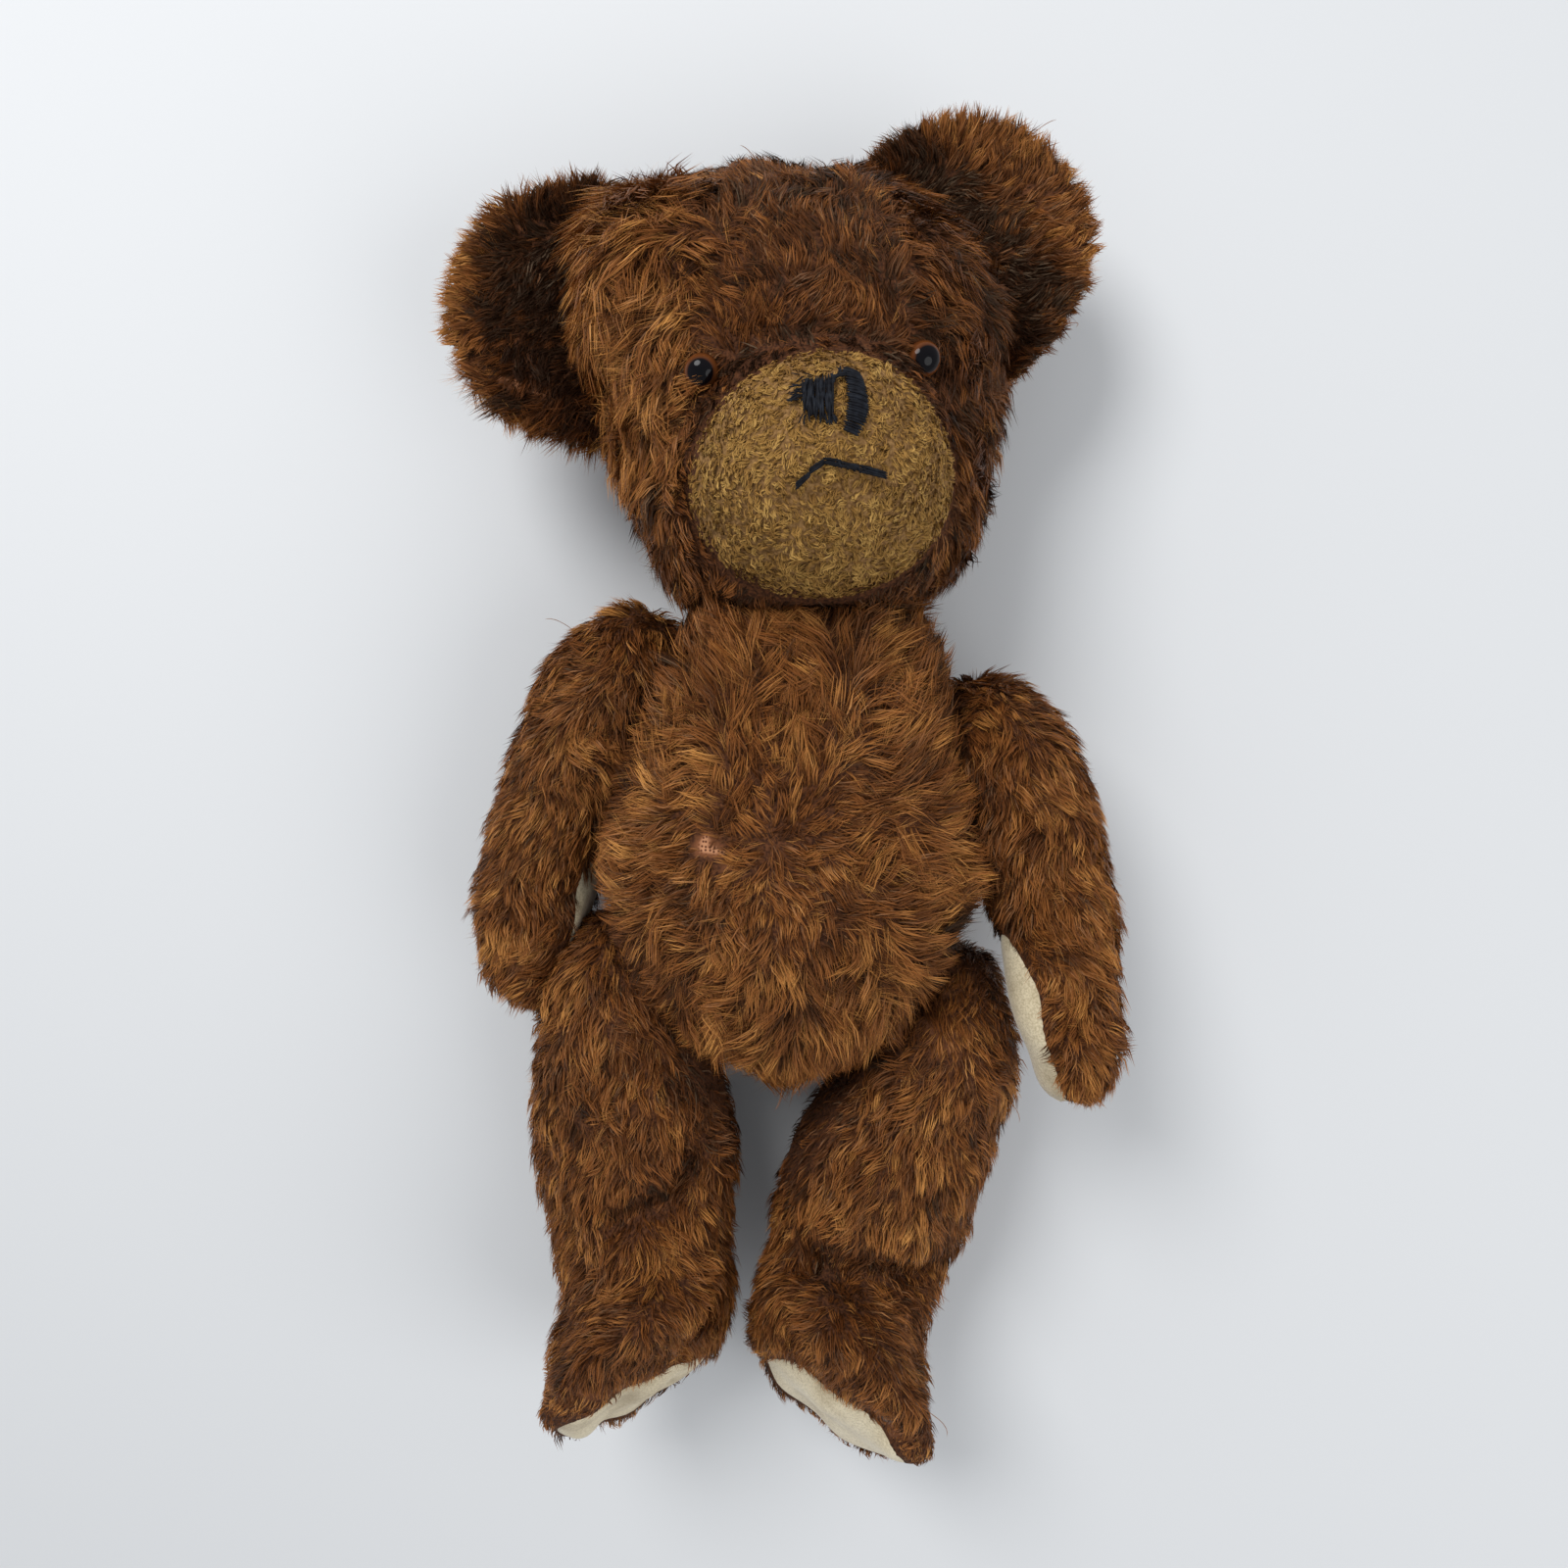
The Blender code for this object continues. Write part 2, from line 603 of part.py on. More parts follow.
def make_ear(name, base_middle, along, out, forward, head_cut, cup):
    """A cupped half-round ear, trimmed by the head it is sewn to."""
    along, out, forward = (Vector(a).normalized() for a in (along, out, forward))
    rings = []
    for i in range(1, EAR_STEPS):
        # Each ring is a slice through the ear's thickness at one place along its span.
        place = -math.cos(math.pi * i / EAR_STEPS)
        height = EAR_RISE * math.sqrt(1 - 0.96 * place**2) ** 0.85
        middle = (height - EAR_ROOT) / 2
        half = (height + EAR_ROOT) / 2
        ring = []
        for k in range(EAR_POINTS):
            t = 2 * math.pi * k / EAR_POINTS
            up = middle + half * math.cos(t)
            thick = EAR_THICKNESS / 2 * math.sin(t) * (0.9 if math.sin(t) > 0 else 1.1)
            bend = cup * (place**2 - 0.35) + 0.35 * cup * (up / EAR_RISE) ** 2
            point = Vector(base_middle) + along * (place * EAR_SPAN / 2) + out * up
            ring.append(np.array(point + forward * (thick + bend)))
        rings.append(ring)
    first = np.mean(rings[0], axis=0) - np.array(along) * 0.001
    last = np.mean(rings[-1], axis=0) + np.array(along) * 0.001
    verts, faces = loft_arrays(rings, first, last)
    ear = mesh_object(name, verts, outward(verts, faces))
    boolean(ear, head_cut, "DIFFERENCE", keep_tool=True)
    keep_largest(ear)


def keep_largest(item):
    """Drops loose slivers that a cut leaves behind."""
    work = bmesh.new()
    work.from_mesh(item.data)
    left = set(work.verts)
    groups = []
    while left:
        start = left.pop()
        group = {start}
        stack = [start]
        while stack:
            v = stack.pop()
            for edge in v.link_edges:
                other = edge.other_vert(v)
                if other in left:
                    left.remove(other)
                    group.add(other)
                    stack.append(other)
        groups.append(group)
    groups.sort(key=len, reverse=True)
    for group in groups[1:]:
        bmesh.ops.delete(work, geom=list(group), context="VERTS")
    work.to_mesh(item.data)
    work.free()


def surface_front(surface, side, up):
    """The spot and normal on the head's front at a place in metres right and up from its middle."""
    hit, normal, _, _ = surface.ray_cast(head_point(side, up, HEAD_DEPTH + MUZZLE_RISE), -HEAD_FORWARD)
    return hit, normal


def paint_all():
    """Gives each object its material by the words in its name; a skin or an ear is mohair."""
    made = {}
    for name, (colour, roughness, metallic) in FINISHES.items():
        material = bpy.data.materials.new(name)
        material.use_nodes = True
        shader = material.node_tree.nodes["Principled BSDF"]
        shader.inputs["Base Color"].default_value = (*colour, 1.0)
        shader.inputs["Roughness"].default_value = roughness
        shader.inputs["Metallic"].default_value = metallic
        made[name] = material
    for item in bpy.data.objects:
        finish = "mohair"
        for word, name in FINISH_WORDS:
            if word in item.name:
                finish = name
                break
        item.data.materials.clear()
        item.data.materials.append(made[finish])
        item.data.shade_smooth()
        item.data.set_sharp_from_angle(angle=math.radians(50))


def build():
    clean_scene()
    torso_verts, torso_faces = make_torso()
    head_verts, head_faces = make_head()
    arm_r = make_arm(SHOULDER_R_POINT, SHOULDER_R_AXIS, ARM_R_DIRECTION)
    arm_l = make_arm(SHOULDER_L_POINT, SHOULDER_L_AXIS, ARM_L_DIRECTION)
    leg_r = make_leg(HIP_R_POINT, HIP_R_AXIS, LEG_R_DIRECTION, FOOT_R_TURN)
    leg_l = make_leg(HIP_L_POINT, HIP_L_AXIS, LEG_L_DIRECTION, FOOT_L_TURN)

    torso = shell_object("torso_skin", torso_verts, torso_faces, SKIN_THICKNESS)
    torso_fill = stuffing_object("torso_stuffing", torso_verts, torso_faces)
    head = shell_object("head_skin", head_verts, head_faces, SKIN_THICKNESS)
    head_fill = stuffing_object("head_stuffing", head_verts, head_faces, coarse=False)
    head_cut = mesh_object("head_cut", inset(head_verts, head_faces, -CLEARANCE), head_faces)
    limbs = {}
    for name, data in (("right_arm", arm_r), ("left_arm", arm_l), ("right_leg", leg_r), ("left_leg", leg_l)):
        skin = shell_object(f"{name}_skin", data[0], data[1], SKIN_THICKNESS)
        fill = stuffing_object(f"{name}_stuffing", data[0], data[1])
        limbs[name] = (skin, fill, data)

    joints = (
        ("neck", NECK_POINT, NECK_AXIS, NECK_DISC_DIAMETER, head, head_fill),
        ("right_shoulder", SHOULDER_R_POINT, SHOULDER_R_AXIS, ARM_DISC_DIAMETER) + limbs["right_arm"][:2],
        ("left_shoulder", SHOULDER_L_POINT, SHOULDER_L_AXIS, ARM_DISC_DIAMETER) + limbs["left_arm"][:2],
        ("right_hip", HIP_R_POINT, HIP_R_AXIS, LEG_DISC_DIAMETER) + limbs["right_leg"][:2],
        ("left_hip", HIP_L_POINT, HIP_L_AXIS, LEG_DISC_DIAMETER) + limbs["left_leg"][:2],
    )
    for name, point, axis, diameter, skin, fill in joints:
        outer_end = hardware(name, point, axis, diameter, "torso", "limb")
        bore(torso, point, axis, 8 * SKIN_THICKNESS)
        bore(skin, point, axis, 8 * SKIN_THICKNESS)
        pocket(torso_fill, point, axis, -1, diameter, outer_end)
        pocket(fill, point, axis, 1, diameter, outer_end)

    muzzle_reach = HEAD_DEPTH / 2 + MUZZLE_RISE + SKIN_THICKNESS
    panel(
        "muzzle_panel",
        head,
        head_point(MUZZLE_CENTRE[0] * HEAD_WIDTH, MUZZLE_CENTRE[1] * HEAD_HEIGHT, muzzle_reach),
        HEAD_FORWARD,
        MUZZLE_WIDTH / 2,
        MUZZLE_HEIGHT / 2,
        1.6 * muzzle_reach,
        HEAD_UP,
    )
    for side in ("right", "left"):
        skin, _, data = limbs[f"{side}_arm"]
        centre, out, v, w = data[2]
        spot = centre + w * (0.60 * ARM_LENGTH) - out * (0.50 * ARM_WIDTH) + v * (0.10 * ARM_DEPTH)
        reach = 0.88 * ARM_WIDTH
        panel(f"{side}_paw_pad", skin, spot, -out, PAW_PAD_WIDTH / 2, PAW_PAD_LENGTH / 2, reach, w)
        skin, _, data = limbs[f"{side}_leg"]
        centre, out, v, w = data[2]
        turn = FOOT_R_TURN if side == "right" else FOOT_L_TURN
        heel_to_toe = v * math.cos(turn) + out * math.sin(turn)
        across = heel_to_toe.cross(w).normalized()
        inward = across if across.dot(out) < 0 else -across
        down = (w + inward * SOLE_TILT + heel_to_toe * SOLE_LIFT).normalized()
        spot = centre + w * (0.872 * LEG_LENGTH) + heel_to_toe * (0.314 * FOOT_LENGTH)
        half_width = FOOT_PAD_WIDTH / 2
        half_length = FOOT_PAD_LENGTH / 2
        reach = 0.17 * LEG_LENGTH
        panel(f"{side}_foot_pad", skin, spot, down, half_width, half_length, reach, heel_to_toe)

    make_ear(
        "right_ear",
        head_point(-0.475 * HEAD_WIDTH, 0.240 * HEAD_HEIGHT, -0.10 * HEAD_DEPTH),
        HEAD_UP * 0.90 + HEAD_RIGHT * 0.30,
        -HEAD_RIGHT * 0.96 + HEAD_UP * 0.28,
        HEAD_FORWARD,
        head_cut,
        0.012,
    )
    make_ear(
        "left_ear",
        head_point(0.375 * HEAD_WIDTH, 0.285 * HEAD_HEIGHT, -0.03 * HEAD_DEPTH),
        HEAD_UP * 0.72 - HEAD_RIGHT * 0.70,
        HEAD_RIGHT * 0.74 + HEAD_UP * 0.67,
        HEAD_FORWARD,
        head_cut,
        0.010,
    )
    bpy.data.objects.remove(head_cut)

    surface = BVHTree.FromPolygons([tuple(v) for v in head_verts], [tuple(f) for f in head_faces])
    for side, (sx, sy) in EYE_SPOTS.items():
        hit, normal = surface_front(surface, sx * HEAD_WIDTH, sy * HEAD_HEIGHT)
        eye_piece(f"{side}_eye", hit, HEAD_FORWARD.lerp(normal, 0.5).normalized(), head, head_fill)
    stitch_nose(surface)
    stitch_mouth(surface)
    paint_all()


def eye_piece(name, spot, facing, skin, fill):
    """A glass button eye with its wire shank pushed through the skin into the stuffing."""
    radius = EYE_DIAMETER / 2
    rings = []
    u, v, w = axes_for(facing, (0, 1, 0))
    # Height and width of the button's rings as shares of its radius.
    profile = [(0.0, 0.45), (0.05, 0.86), (0.20, 1.0), (0.48, 0.93), (0.74, 0.70), (0.92, 0.36)]
    for height, wide in profile:
        ring = []
        for k in range(EYE_POINTS):
            t = 2 * math.pi * k / EYE_POINTS
            p = spot + w * (EYE_LIFT + height * radius) + u * (wide * radius * math.cos(t))
            ring.append(np.array(p + v * (wide * radius * math.sin(t))))
        rings.append(ring)
    bottom = np.array(spot + w * EYE_LIFT)
    top = np.array(spot + w * (EYE_LIFT + radius * 0.97))
    verts, faces = loft_arrays(rings, bottom, top)
    eye = mesh_object(name, verts, outward(verts, faces))
    shank_path = [spot - w * EYE_SHANK_LENGTH, spot + w * (EYE_LIFT + radius * 0.2)]
    shank = tube_mesh("shank", shank_path, EYE_SHANK_DIAMETER / 2, u, 8)
    boolean(eye, shank, "UNION")
    # The skin rises beside the eye, so its seat is cut to the eye's own outline.
    seat_radius = radius + CLEARANCE
    seat_depth = 1.75 * EYE_DIAMETER
    seat = cylinder("seat", spot + w * (seat_depth / 2), w, seat_radius, seat_radius, seat_depth)
    boolean(skin, seat, "DIFFERENCE")
    hole_radius = EYE_SHANK_DIAMETER / 2 + CLEARANCE
    hole_length = EYE_SHANK_LENGTH + 2 * CLEARANCE + radius / 2
    hole_middle = spot - w * (EYE_SHANK_LENGTH + 2 * CLEARANCE - hole_length / 2)
    for item in (skin, fill):
        hole = cylinder("hole", hole_middle, w, hole_radius, hole_radius, hole_length, points=HOLE_POINTS)
        boolean(item, hole, "DIFFERENCE")


def band(name, surface, rows, height):
    """A strip of embroidery given as rows of (side, up) points, laid on the muzzle surface."""
    low = []
    top = []
    for pair in rows:
        for side, up in pair:
            hit, _ = surface_front(surface, side, up)
            low.append(hit + HEAD_FORWARD * FLOSS_LIFT)
            top.append(hit + HEAD_FORWARD * (FLOSS_LIFT + height))
    width = len(rows[0])
    count = len(rows)
    shift = len(low)
    verts = np.array([tuple(p) for p in low + top])
    faces = []
    for i in range(count - 1):
        for j in range(width - 1):
            a = i * width + j
            faces.append((a, a + width, a + width + 1, a + 1))
            faces.append((a + shift, a + 1 + shift, a + width + 1 + shift, a + width + shift))
        left = i * width
        right = i * width + width - 1
        faces.append((left, left + shift, left + width + shift, left + width))
        faces.append((right, right + width, right + width + shift, right + shift))
    for j in range(width - 1):
        faces.append((j, j + 1, j + 1 + shift, j + shift))
        end = (count - 1) * width + j
        faces.append((end, end + shift, end + 1 + shift, end + 1))
    return mesh_object(name, verts, outward(verts, faces))


def stitch_nose(surface):
    """The floss nose, worn into two blocks that stay joined at the top."""
    middle = NOSE_TOP[0] * HEAD_WIDTH
    top = NOSE_TOP[1] * HEAD_HEIGHT
    cells = 4
    rows = []
    for i in range(cells + 1):
        width = NOSE_WIDTH * (1 - 0.25 * i / cells)
        up = top - NOSE_HEIGHT * i / cells
        rows.append([(middle + width * (j / cells - 0.5), up) for j in range(cells + 1)])
    nose = band("nose_stitching", surface, rows, NOSE_THICKNESS)
    reach = HEAD_DEPTH / 2 + MUZZLE_RISE
    centre = head_point(middle, top - 0.62 * NOSE_HEIGHT, reach)
    half_width = NOSE_SLIT_WIDTH / 2
    half_height = NOSE_SLIT_HEIGHT / 2
    slit = cylinder("slit", centre, HEAD_FORWARD, half_width, half_height, reach, HEAD_UP, HOLE_POINTS)
    boolean(nose, slit, "DIFFERENCE")


def stitch_mouth(surface):
    """The inverted V of the mouth, with its longer arm to the bear's left."""
    middle = MOUTH_PEAK[0] * HEAD_WIDTH
    peak = MOUTH_PEAK[1] * HEAD_HEIGHT
    cuts = 3
    fine = []
    for (ax, ay), (bx, by) in zip(MOUTH_PATH[:-1], MOUTH_PATH[1:]):
        fine += [(ax + (bx - ax) * k / cuts, ay + (by - ay) * k / cuts) for k in range(cuts)]
    fine.append(MOUTH_PATH[-1])
    half = MOUTH_STROKE / 2
    rows = [[(middle + x, peak + y + shift) for shift in (-half, 0.0, half)] for x, y in fine]
    band("mouth_stitching", surface, rows, MOUTH_THICKNESS)


build()
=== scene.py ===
# A threadbare jointed teddy bear lying on its back: cloth, pile, face, pads, light and camera.
import json
import math

import bpy
import numpy as np
from mathutils import Matrix, Vector
from mathutils.bvhtree import BVHTree
from mathutils.kdtree import KDTree

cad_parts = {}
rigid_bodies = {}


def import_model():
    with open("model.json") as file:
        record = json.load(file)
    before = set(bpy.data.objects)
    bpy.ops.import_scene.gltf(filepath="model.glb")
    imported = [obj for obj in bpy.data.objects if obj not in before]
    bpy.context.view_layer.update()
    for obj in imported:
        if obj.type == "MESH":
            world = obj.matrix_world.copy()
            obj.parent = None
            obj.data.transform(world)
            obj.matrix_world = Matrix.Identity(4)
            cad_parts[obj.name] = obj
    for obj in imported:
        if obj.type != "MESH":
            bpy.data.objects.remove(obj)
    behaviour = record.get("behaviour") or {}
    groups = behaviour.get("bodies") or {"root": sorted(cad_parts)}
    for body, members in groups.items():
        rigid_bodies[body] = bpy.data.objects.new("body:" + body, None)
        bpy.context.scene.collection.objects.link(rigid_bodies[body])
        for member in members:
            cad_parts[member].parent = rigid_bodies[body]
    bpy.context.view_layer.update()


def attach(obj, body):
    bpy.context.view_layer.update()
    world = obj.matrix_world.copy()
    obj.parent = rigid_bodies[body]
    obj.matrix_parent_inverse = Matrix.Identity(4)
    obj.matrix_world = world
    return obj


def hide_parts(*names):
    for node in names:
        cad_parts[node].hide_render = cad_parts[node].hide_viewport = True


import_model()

# Driving dimensions, the same as the solids have.
TORSO_LENGTH = 0.176
TORSO_WIDTH = 0.138
TORSO_DEPTH = 0.116
HEAD_WIDTH = 0.136
HEAD_HEIGHT = 0.148
HEAD_DEPTH = 0.120
MUZZLE_WIDTH = 0.086
MUZZLE_HEIGHT = 0.075
MUZZLE_RISE = 0.030
EAR_SPAN = 0.082
EAR_RISE = 0.056
EAR_THICKNESS = 0.009
EAR_ROOT = 0.020
ARM_LENGTH = 0.150
ARM_WIDTH = 0.041
ARM_DEPTH = 0.047
LEG_LENGTH = 0.176
LEG_WIDTH = 0.069
LEG_DEPTH = 0.066
FOOT_LENGTH = 0.084
EYE_DIAMETER = 0.011
CLEARANCE = 0.0004
PILE_OVERHANG = 0.006
PILE_ROOM = 0.0002

# Sections as shares of the driving dimensions: along the body, side, front, half width, half depth.
TORSO_SECTIONS = [
    (0.000, 0.00, 0.50, 0.00, 0.00),
    (0.012, 0.00, 0.50, 0.14, 0.15),
    (0.060, 0.00, 0.50, 0.42, 0.44),
    (0.150, 0.00, 0.50, 0.70, 0.72),
    (0.280, 0.00, 0.50, 0.92, 0.92),
    (0.420, 0.00, 0.50, 1.00, 1.00),
    (0.560, 0.00, 0.50, 0.97, 0.98),
    (0.700, 0.00, 0.50, 0.87, 0.90),
    (0.820, 0.00, 0.50, 0.76, 0.80),
    (0.920, 0.00, 0.50, 0.64, 0.68),
    (0.985, 0.00, 0.50, 0.48, 0.52),
    (1.010, 0.00, 0.50, 0.26, 0.30),
    (1.015, 0.00, 0.50, 0.00, 0.00),
]
HEAD_SECTIONS = [
    (-0.010, 0.00, 0.00, 0.00, 0.00),
    (0.000, 0.00, 0.00, 0.30, 0.30),
    (0.035, 0.00, 0.00, 0.54, 0.54),
    (0.110, 0.00, 0.00, 0.72, 0.72),
    (0.230, 0.00, 0.00, 0.85, 0.84),
    (0.380, 0.00, 0.00, 0.93, 0.94),
    (0.540, 0.00, 0.00, 1.00, 1.00),
    (0.690, 0.00, 0.00, 0.98, 0.98),
    (0.820, 0.00, 0.00, 0.84, 0.85),
    (0.915, 0.00, 0.00, 0.62, 0.63),
    (0.975, 0.00, 0.00, 0.34, 0.35),
    (1.000, 0.00, 0.00, 0.00, 0.00),
]
ARM_SECTIONS = [
    (-0.165, 0.00, 0.00, 0.00, 0.00),
    (-0.150, 0.00, 0.00, 0.42, 0.42),
    (-0.095, 0.00, 0.00, 0.80, 0.80),
    (0.000, 0.04, 0.00, 1.04, 1.00),
    (0.200, 0.13, 0.00, 1.08, 0.97),
    (0.400, 0.14, 0.02, 0.98, 0.90),
    (0.560, 0.10, 0.05, 0.87, 0.84),
    (0.690, 0.04, 0.09, 0.80, 0.82),
    (0.780, -0.02, 0.12, 0.63, 0.68),
    (0.825, -0.06, 0.14, 0.36, 0.42),
    (0.840, -0.07, 0.14, 0.00, 0.00),
]
LEG_SECTIONS = [
    (-0.160, 0.00, 0.00, 0.00, 0.00),
    (-0.148, 0.00, 0.00, 0.36, 0.36),
    (-0.095, 0.00, 0.00, 0.68, 0.70),
    (0.000, 0.01, 0.00, 0.87, 0.90),
    (0.170, 0.05, 0.00, 1.04, 0.98),
    (0.340, 0.08, 0.00, 1.14, 1.00),
    (0.500, 0.08, 0.02, 1.06, 0.94),
    (0.610, 0.04, 0.14, 0.95, 0.94),
]
FOOT_SECTIONS = [
    (0.700, 0.00, 0.236, 0.93, 0.880),
    (0.765, 0.00, 0.299, 0.94, 0.943),
    (0.805, 0.00, 0.314, 0.82, 0.849),
    (0.825, 0.00, 0.314, 0.46, 0.487),
    (0.830, 0.00, 0.314, 0.00, 0.000),
]


def unit(vector):
    vector = np.array(vector, float)
    return vector / np.linalg.norm(vector)


# Places and directions in the shared frame.
NECK_POINT = np.array((0.002, 0.468 * TORSO_LENGTH, 0.50 * TORSO_DEPTH))
NECK_AXIS = unit((-0.08, 1.0, 0.05))
HEAD_UP = unit((-0.135, 0.985, 0.03))
HEAD_FRONT = unit((0.10, 0.0, 0.995))
SHOULDER_POINT = {
    "right": np.array((-0.372 * TORSO_WIDTH, 0.280 * TORSO_LENGTH, 0.50 * TORSO_DEPTH)),
    "left": np.array((0.405 * TORSO_WIDTH, 0.195 * TORSO_LENGTH, 0.50 * TORSO_DEPTH)),
}
SHOULDER_AXIS = {"right": unit((-0.960, 0.280, 0.0)), "left": unit((0.965, 0.262, 0.0))}
HIP_POINT = {
    "right": np.array((-0.302 * TORSO_WIDTH, -0.310 * TORSO_LENGTH, 0.44 * TORSO_DEPTH)),
    "left": np.array((0.292 * TORSO_WIDTH, -0.325 * TORSO_LENGTH, 0.44 * TORSO_DEPTH)),
}
HIP_AXIS = {"right": unit((-0.890, -0.430, -0.12)), "left": unit((0.890, -0.430, -0.12))}
ARM_DIRECTION = {"right": unit((-0.325, -0.930, -0.15)), "left": unit((0.300, -0.930, 0.14))}
LEG_DIRECTION = {"right": unit((0.190, -0.970, -0.03)), "left": unit((-0.300, -0.945, -0.03))}
PAW_PASSES = np.array((0.082, -0.058, 0.056))
ANKLE_FILL = {"right": 0.0055, "left": 0.0050}
FOOT_TURN = {"right": math.radians(25), "left": math.radians(41)}
SOLE_TILT = math.tan(math.radians(43))
SOLE_LIFT = math.tan(math.radians(20))
MUZZLE_CENTRE = (0.01, -0.235)
MUZZLE_SPREAD = 1.15
MUZZLE_CHIN = 0.93
EYE_SPOTS = {"right": (-0.248, 0.010), "left": (0.247, 0.010)}
UP = np.array((0.0, 0.0, 1.0))

# The photograph's camera in the bear's frame.
IMAGE_SIZE = 1600
FOCAL_PIXELS = 1202.0
SENSOR_WIDTH = 36.0
CAMERA_PLACE = np.array((0.0155, 0.052, 0.484))
CAMERA_PITCH = math.radians(4.5)
CAMERA_ROLL = math.radians(4.3)
CAMERA_YAW = math.radians(2.7)


def smooth(low, high, value):
    share = np.clip((value - low) / (high - low), 0.0, 1.0)
    return share * share * (3 - 2 * share)


def normalised(rows):
    return rows / np.maximum(np.linalg.norm(rows, axis=-1, keepdims=True), 1e-12)


def waves(points, scale, seed, count=8):
    """Smooth noise of about unit size whose lumps are scale metres wide."""
    rng = np.random.default_rng(seed)
    directions = normalised(rng.normal(size=(count, 3))) * (2 * math.pi / scale)
    directions = directions * rng.uniform(0.6, 1.6, size=(count, 1))
    phases = rng.uniform(0, 2 * math.pi, count)
    return np.sin(points @ directions.T + phases).sum(axis=1) / math.sqrt(count / 2)


# Camera.
cos_roll, sin_roll = math.cos(CAMERA_ROLL), math.sin(CAMERA_ROLL)
camera_x = unit((cos_roll * math.cos(CAMERA_YAW), -sin_roll, math.sin(CAMERA_YAW)))
camera_y = np.array((sin_roll, cos_roll * math.cos(CAMERA_PITCH), math.sin(CAMERA_PITCH)))
camera_y = unit(camera_y - camera_x * (camera_y @ camera_x))
camera_z = np.cross(camera_x, camera_y)
TO_CAMERA = np.stack([camera_x, camera_y, camera_z], 1)


def make_camera():
    data = bpy.data.cameras.new("photo_camera")
    data.sensor_width = SENSOR_WIDTH
    data.lens = SENSOR_WIDTH * FOCAL_PIXELS / IMAGE_SIZE
    data.clip_start = 0.01
    camera = bpy.data.objects.new("photo_camera", data)
    bpy.context.scene.collection.objects.link(camera)
    matrix = Matrix(TO_CAMERA.T.tolist()).to_4x4()
    matrix.translation = Vector(CAMERA_PLACE)
    camera.matrix_world = matrix
    bpy.context.scene.camera = camera


def pixel_ray(px, py):
    """The direction in the shared frame through a pixel of the photograph."""
    seen = np.array(((px - IMAGE_SIZE / 2) / FOCAL_PIXELS, (IMAGE_SIZE / 2 - py) / FOCAL_PIXELS, -1.0))
    return unit(TO_CAMERA.T @ seen)


# Forms: oval bodies with the same sections as the solids, in finer rings.
def spline(rows, count):
    rows = np.array(rows, float)
    steps = np.linalg.norm(np.diff(rows[:, [0, 3]] * [2.0, 1.0], axis=0), axis=1)
    place = np.concatenate([[0.0], np.cumsum(np.maximum(steps, 1e-4) ** 0.7)])
    wanted = np.linspace(0.0, place[-1], count)
    tangent = np.gradient(rows, place, axis=0)
    k = np.clip(np.searchsorted(place, wanted, side="right") - 1, 0, len(place) - 2)
    span = (place[k + 1] - place[k])[:, None]
    u = (wanted[:, None] - place[k][:, None]) / span
    a = (1 + 2 * u) * (1 - u) ** 2
    b = u * (1 - u) ** 2
    c = u * u * (3 - 2 * u)
    d = u * u * (u - 1)
    return a * rows[k] + b * span * tangent[k] + c * rows[k + 1] + d * span * tangent[k + 1]


def ring_quads(rings, around, first=0):
    """Quads between closed rings of points, of which the first point has the index first."""
    i, j = np.meshgrid(np.arange(rings - 1), np.arange(around), indexing="ij")
    a = first + i * around + j
    b = first + i * around + (j + 1) % around
    return np.stack([a, b, b + around, a + around], axis=-1).reshape(-1, 4)


def fan(tip, ring, around):
    """Triangles from a tip to a closed ring of points."""
    j = np.arange(around)
    return np.stack([np.full(around, tip), ring + j, ring + (j + 1) % around], axis=-1)


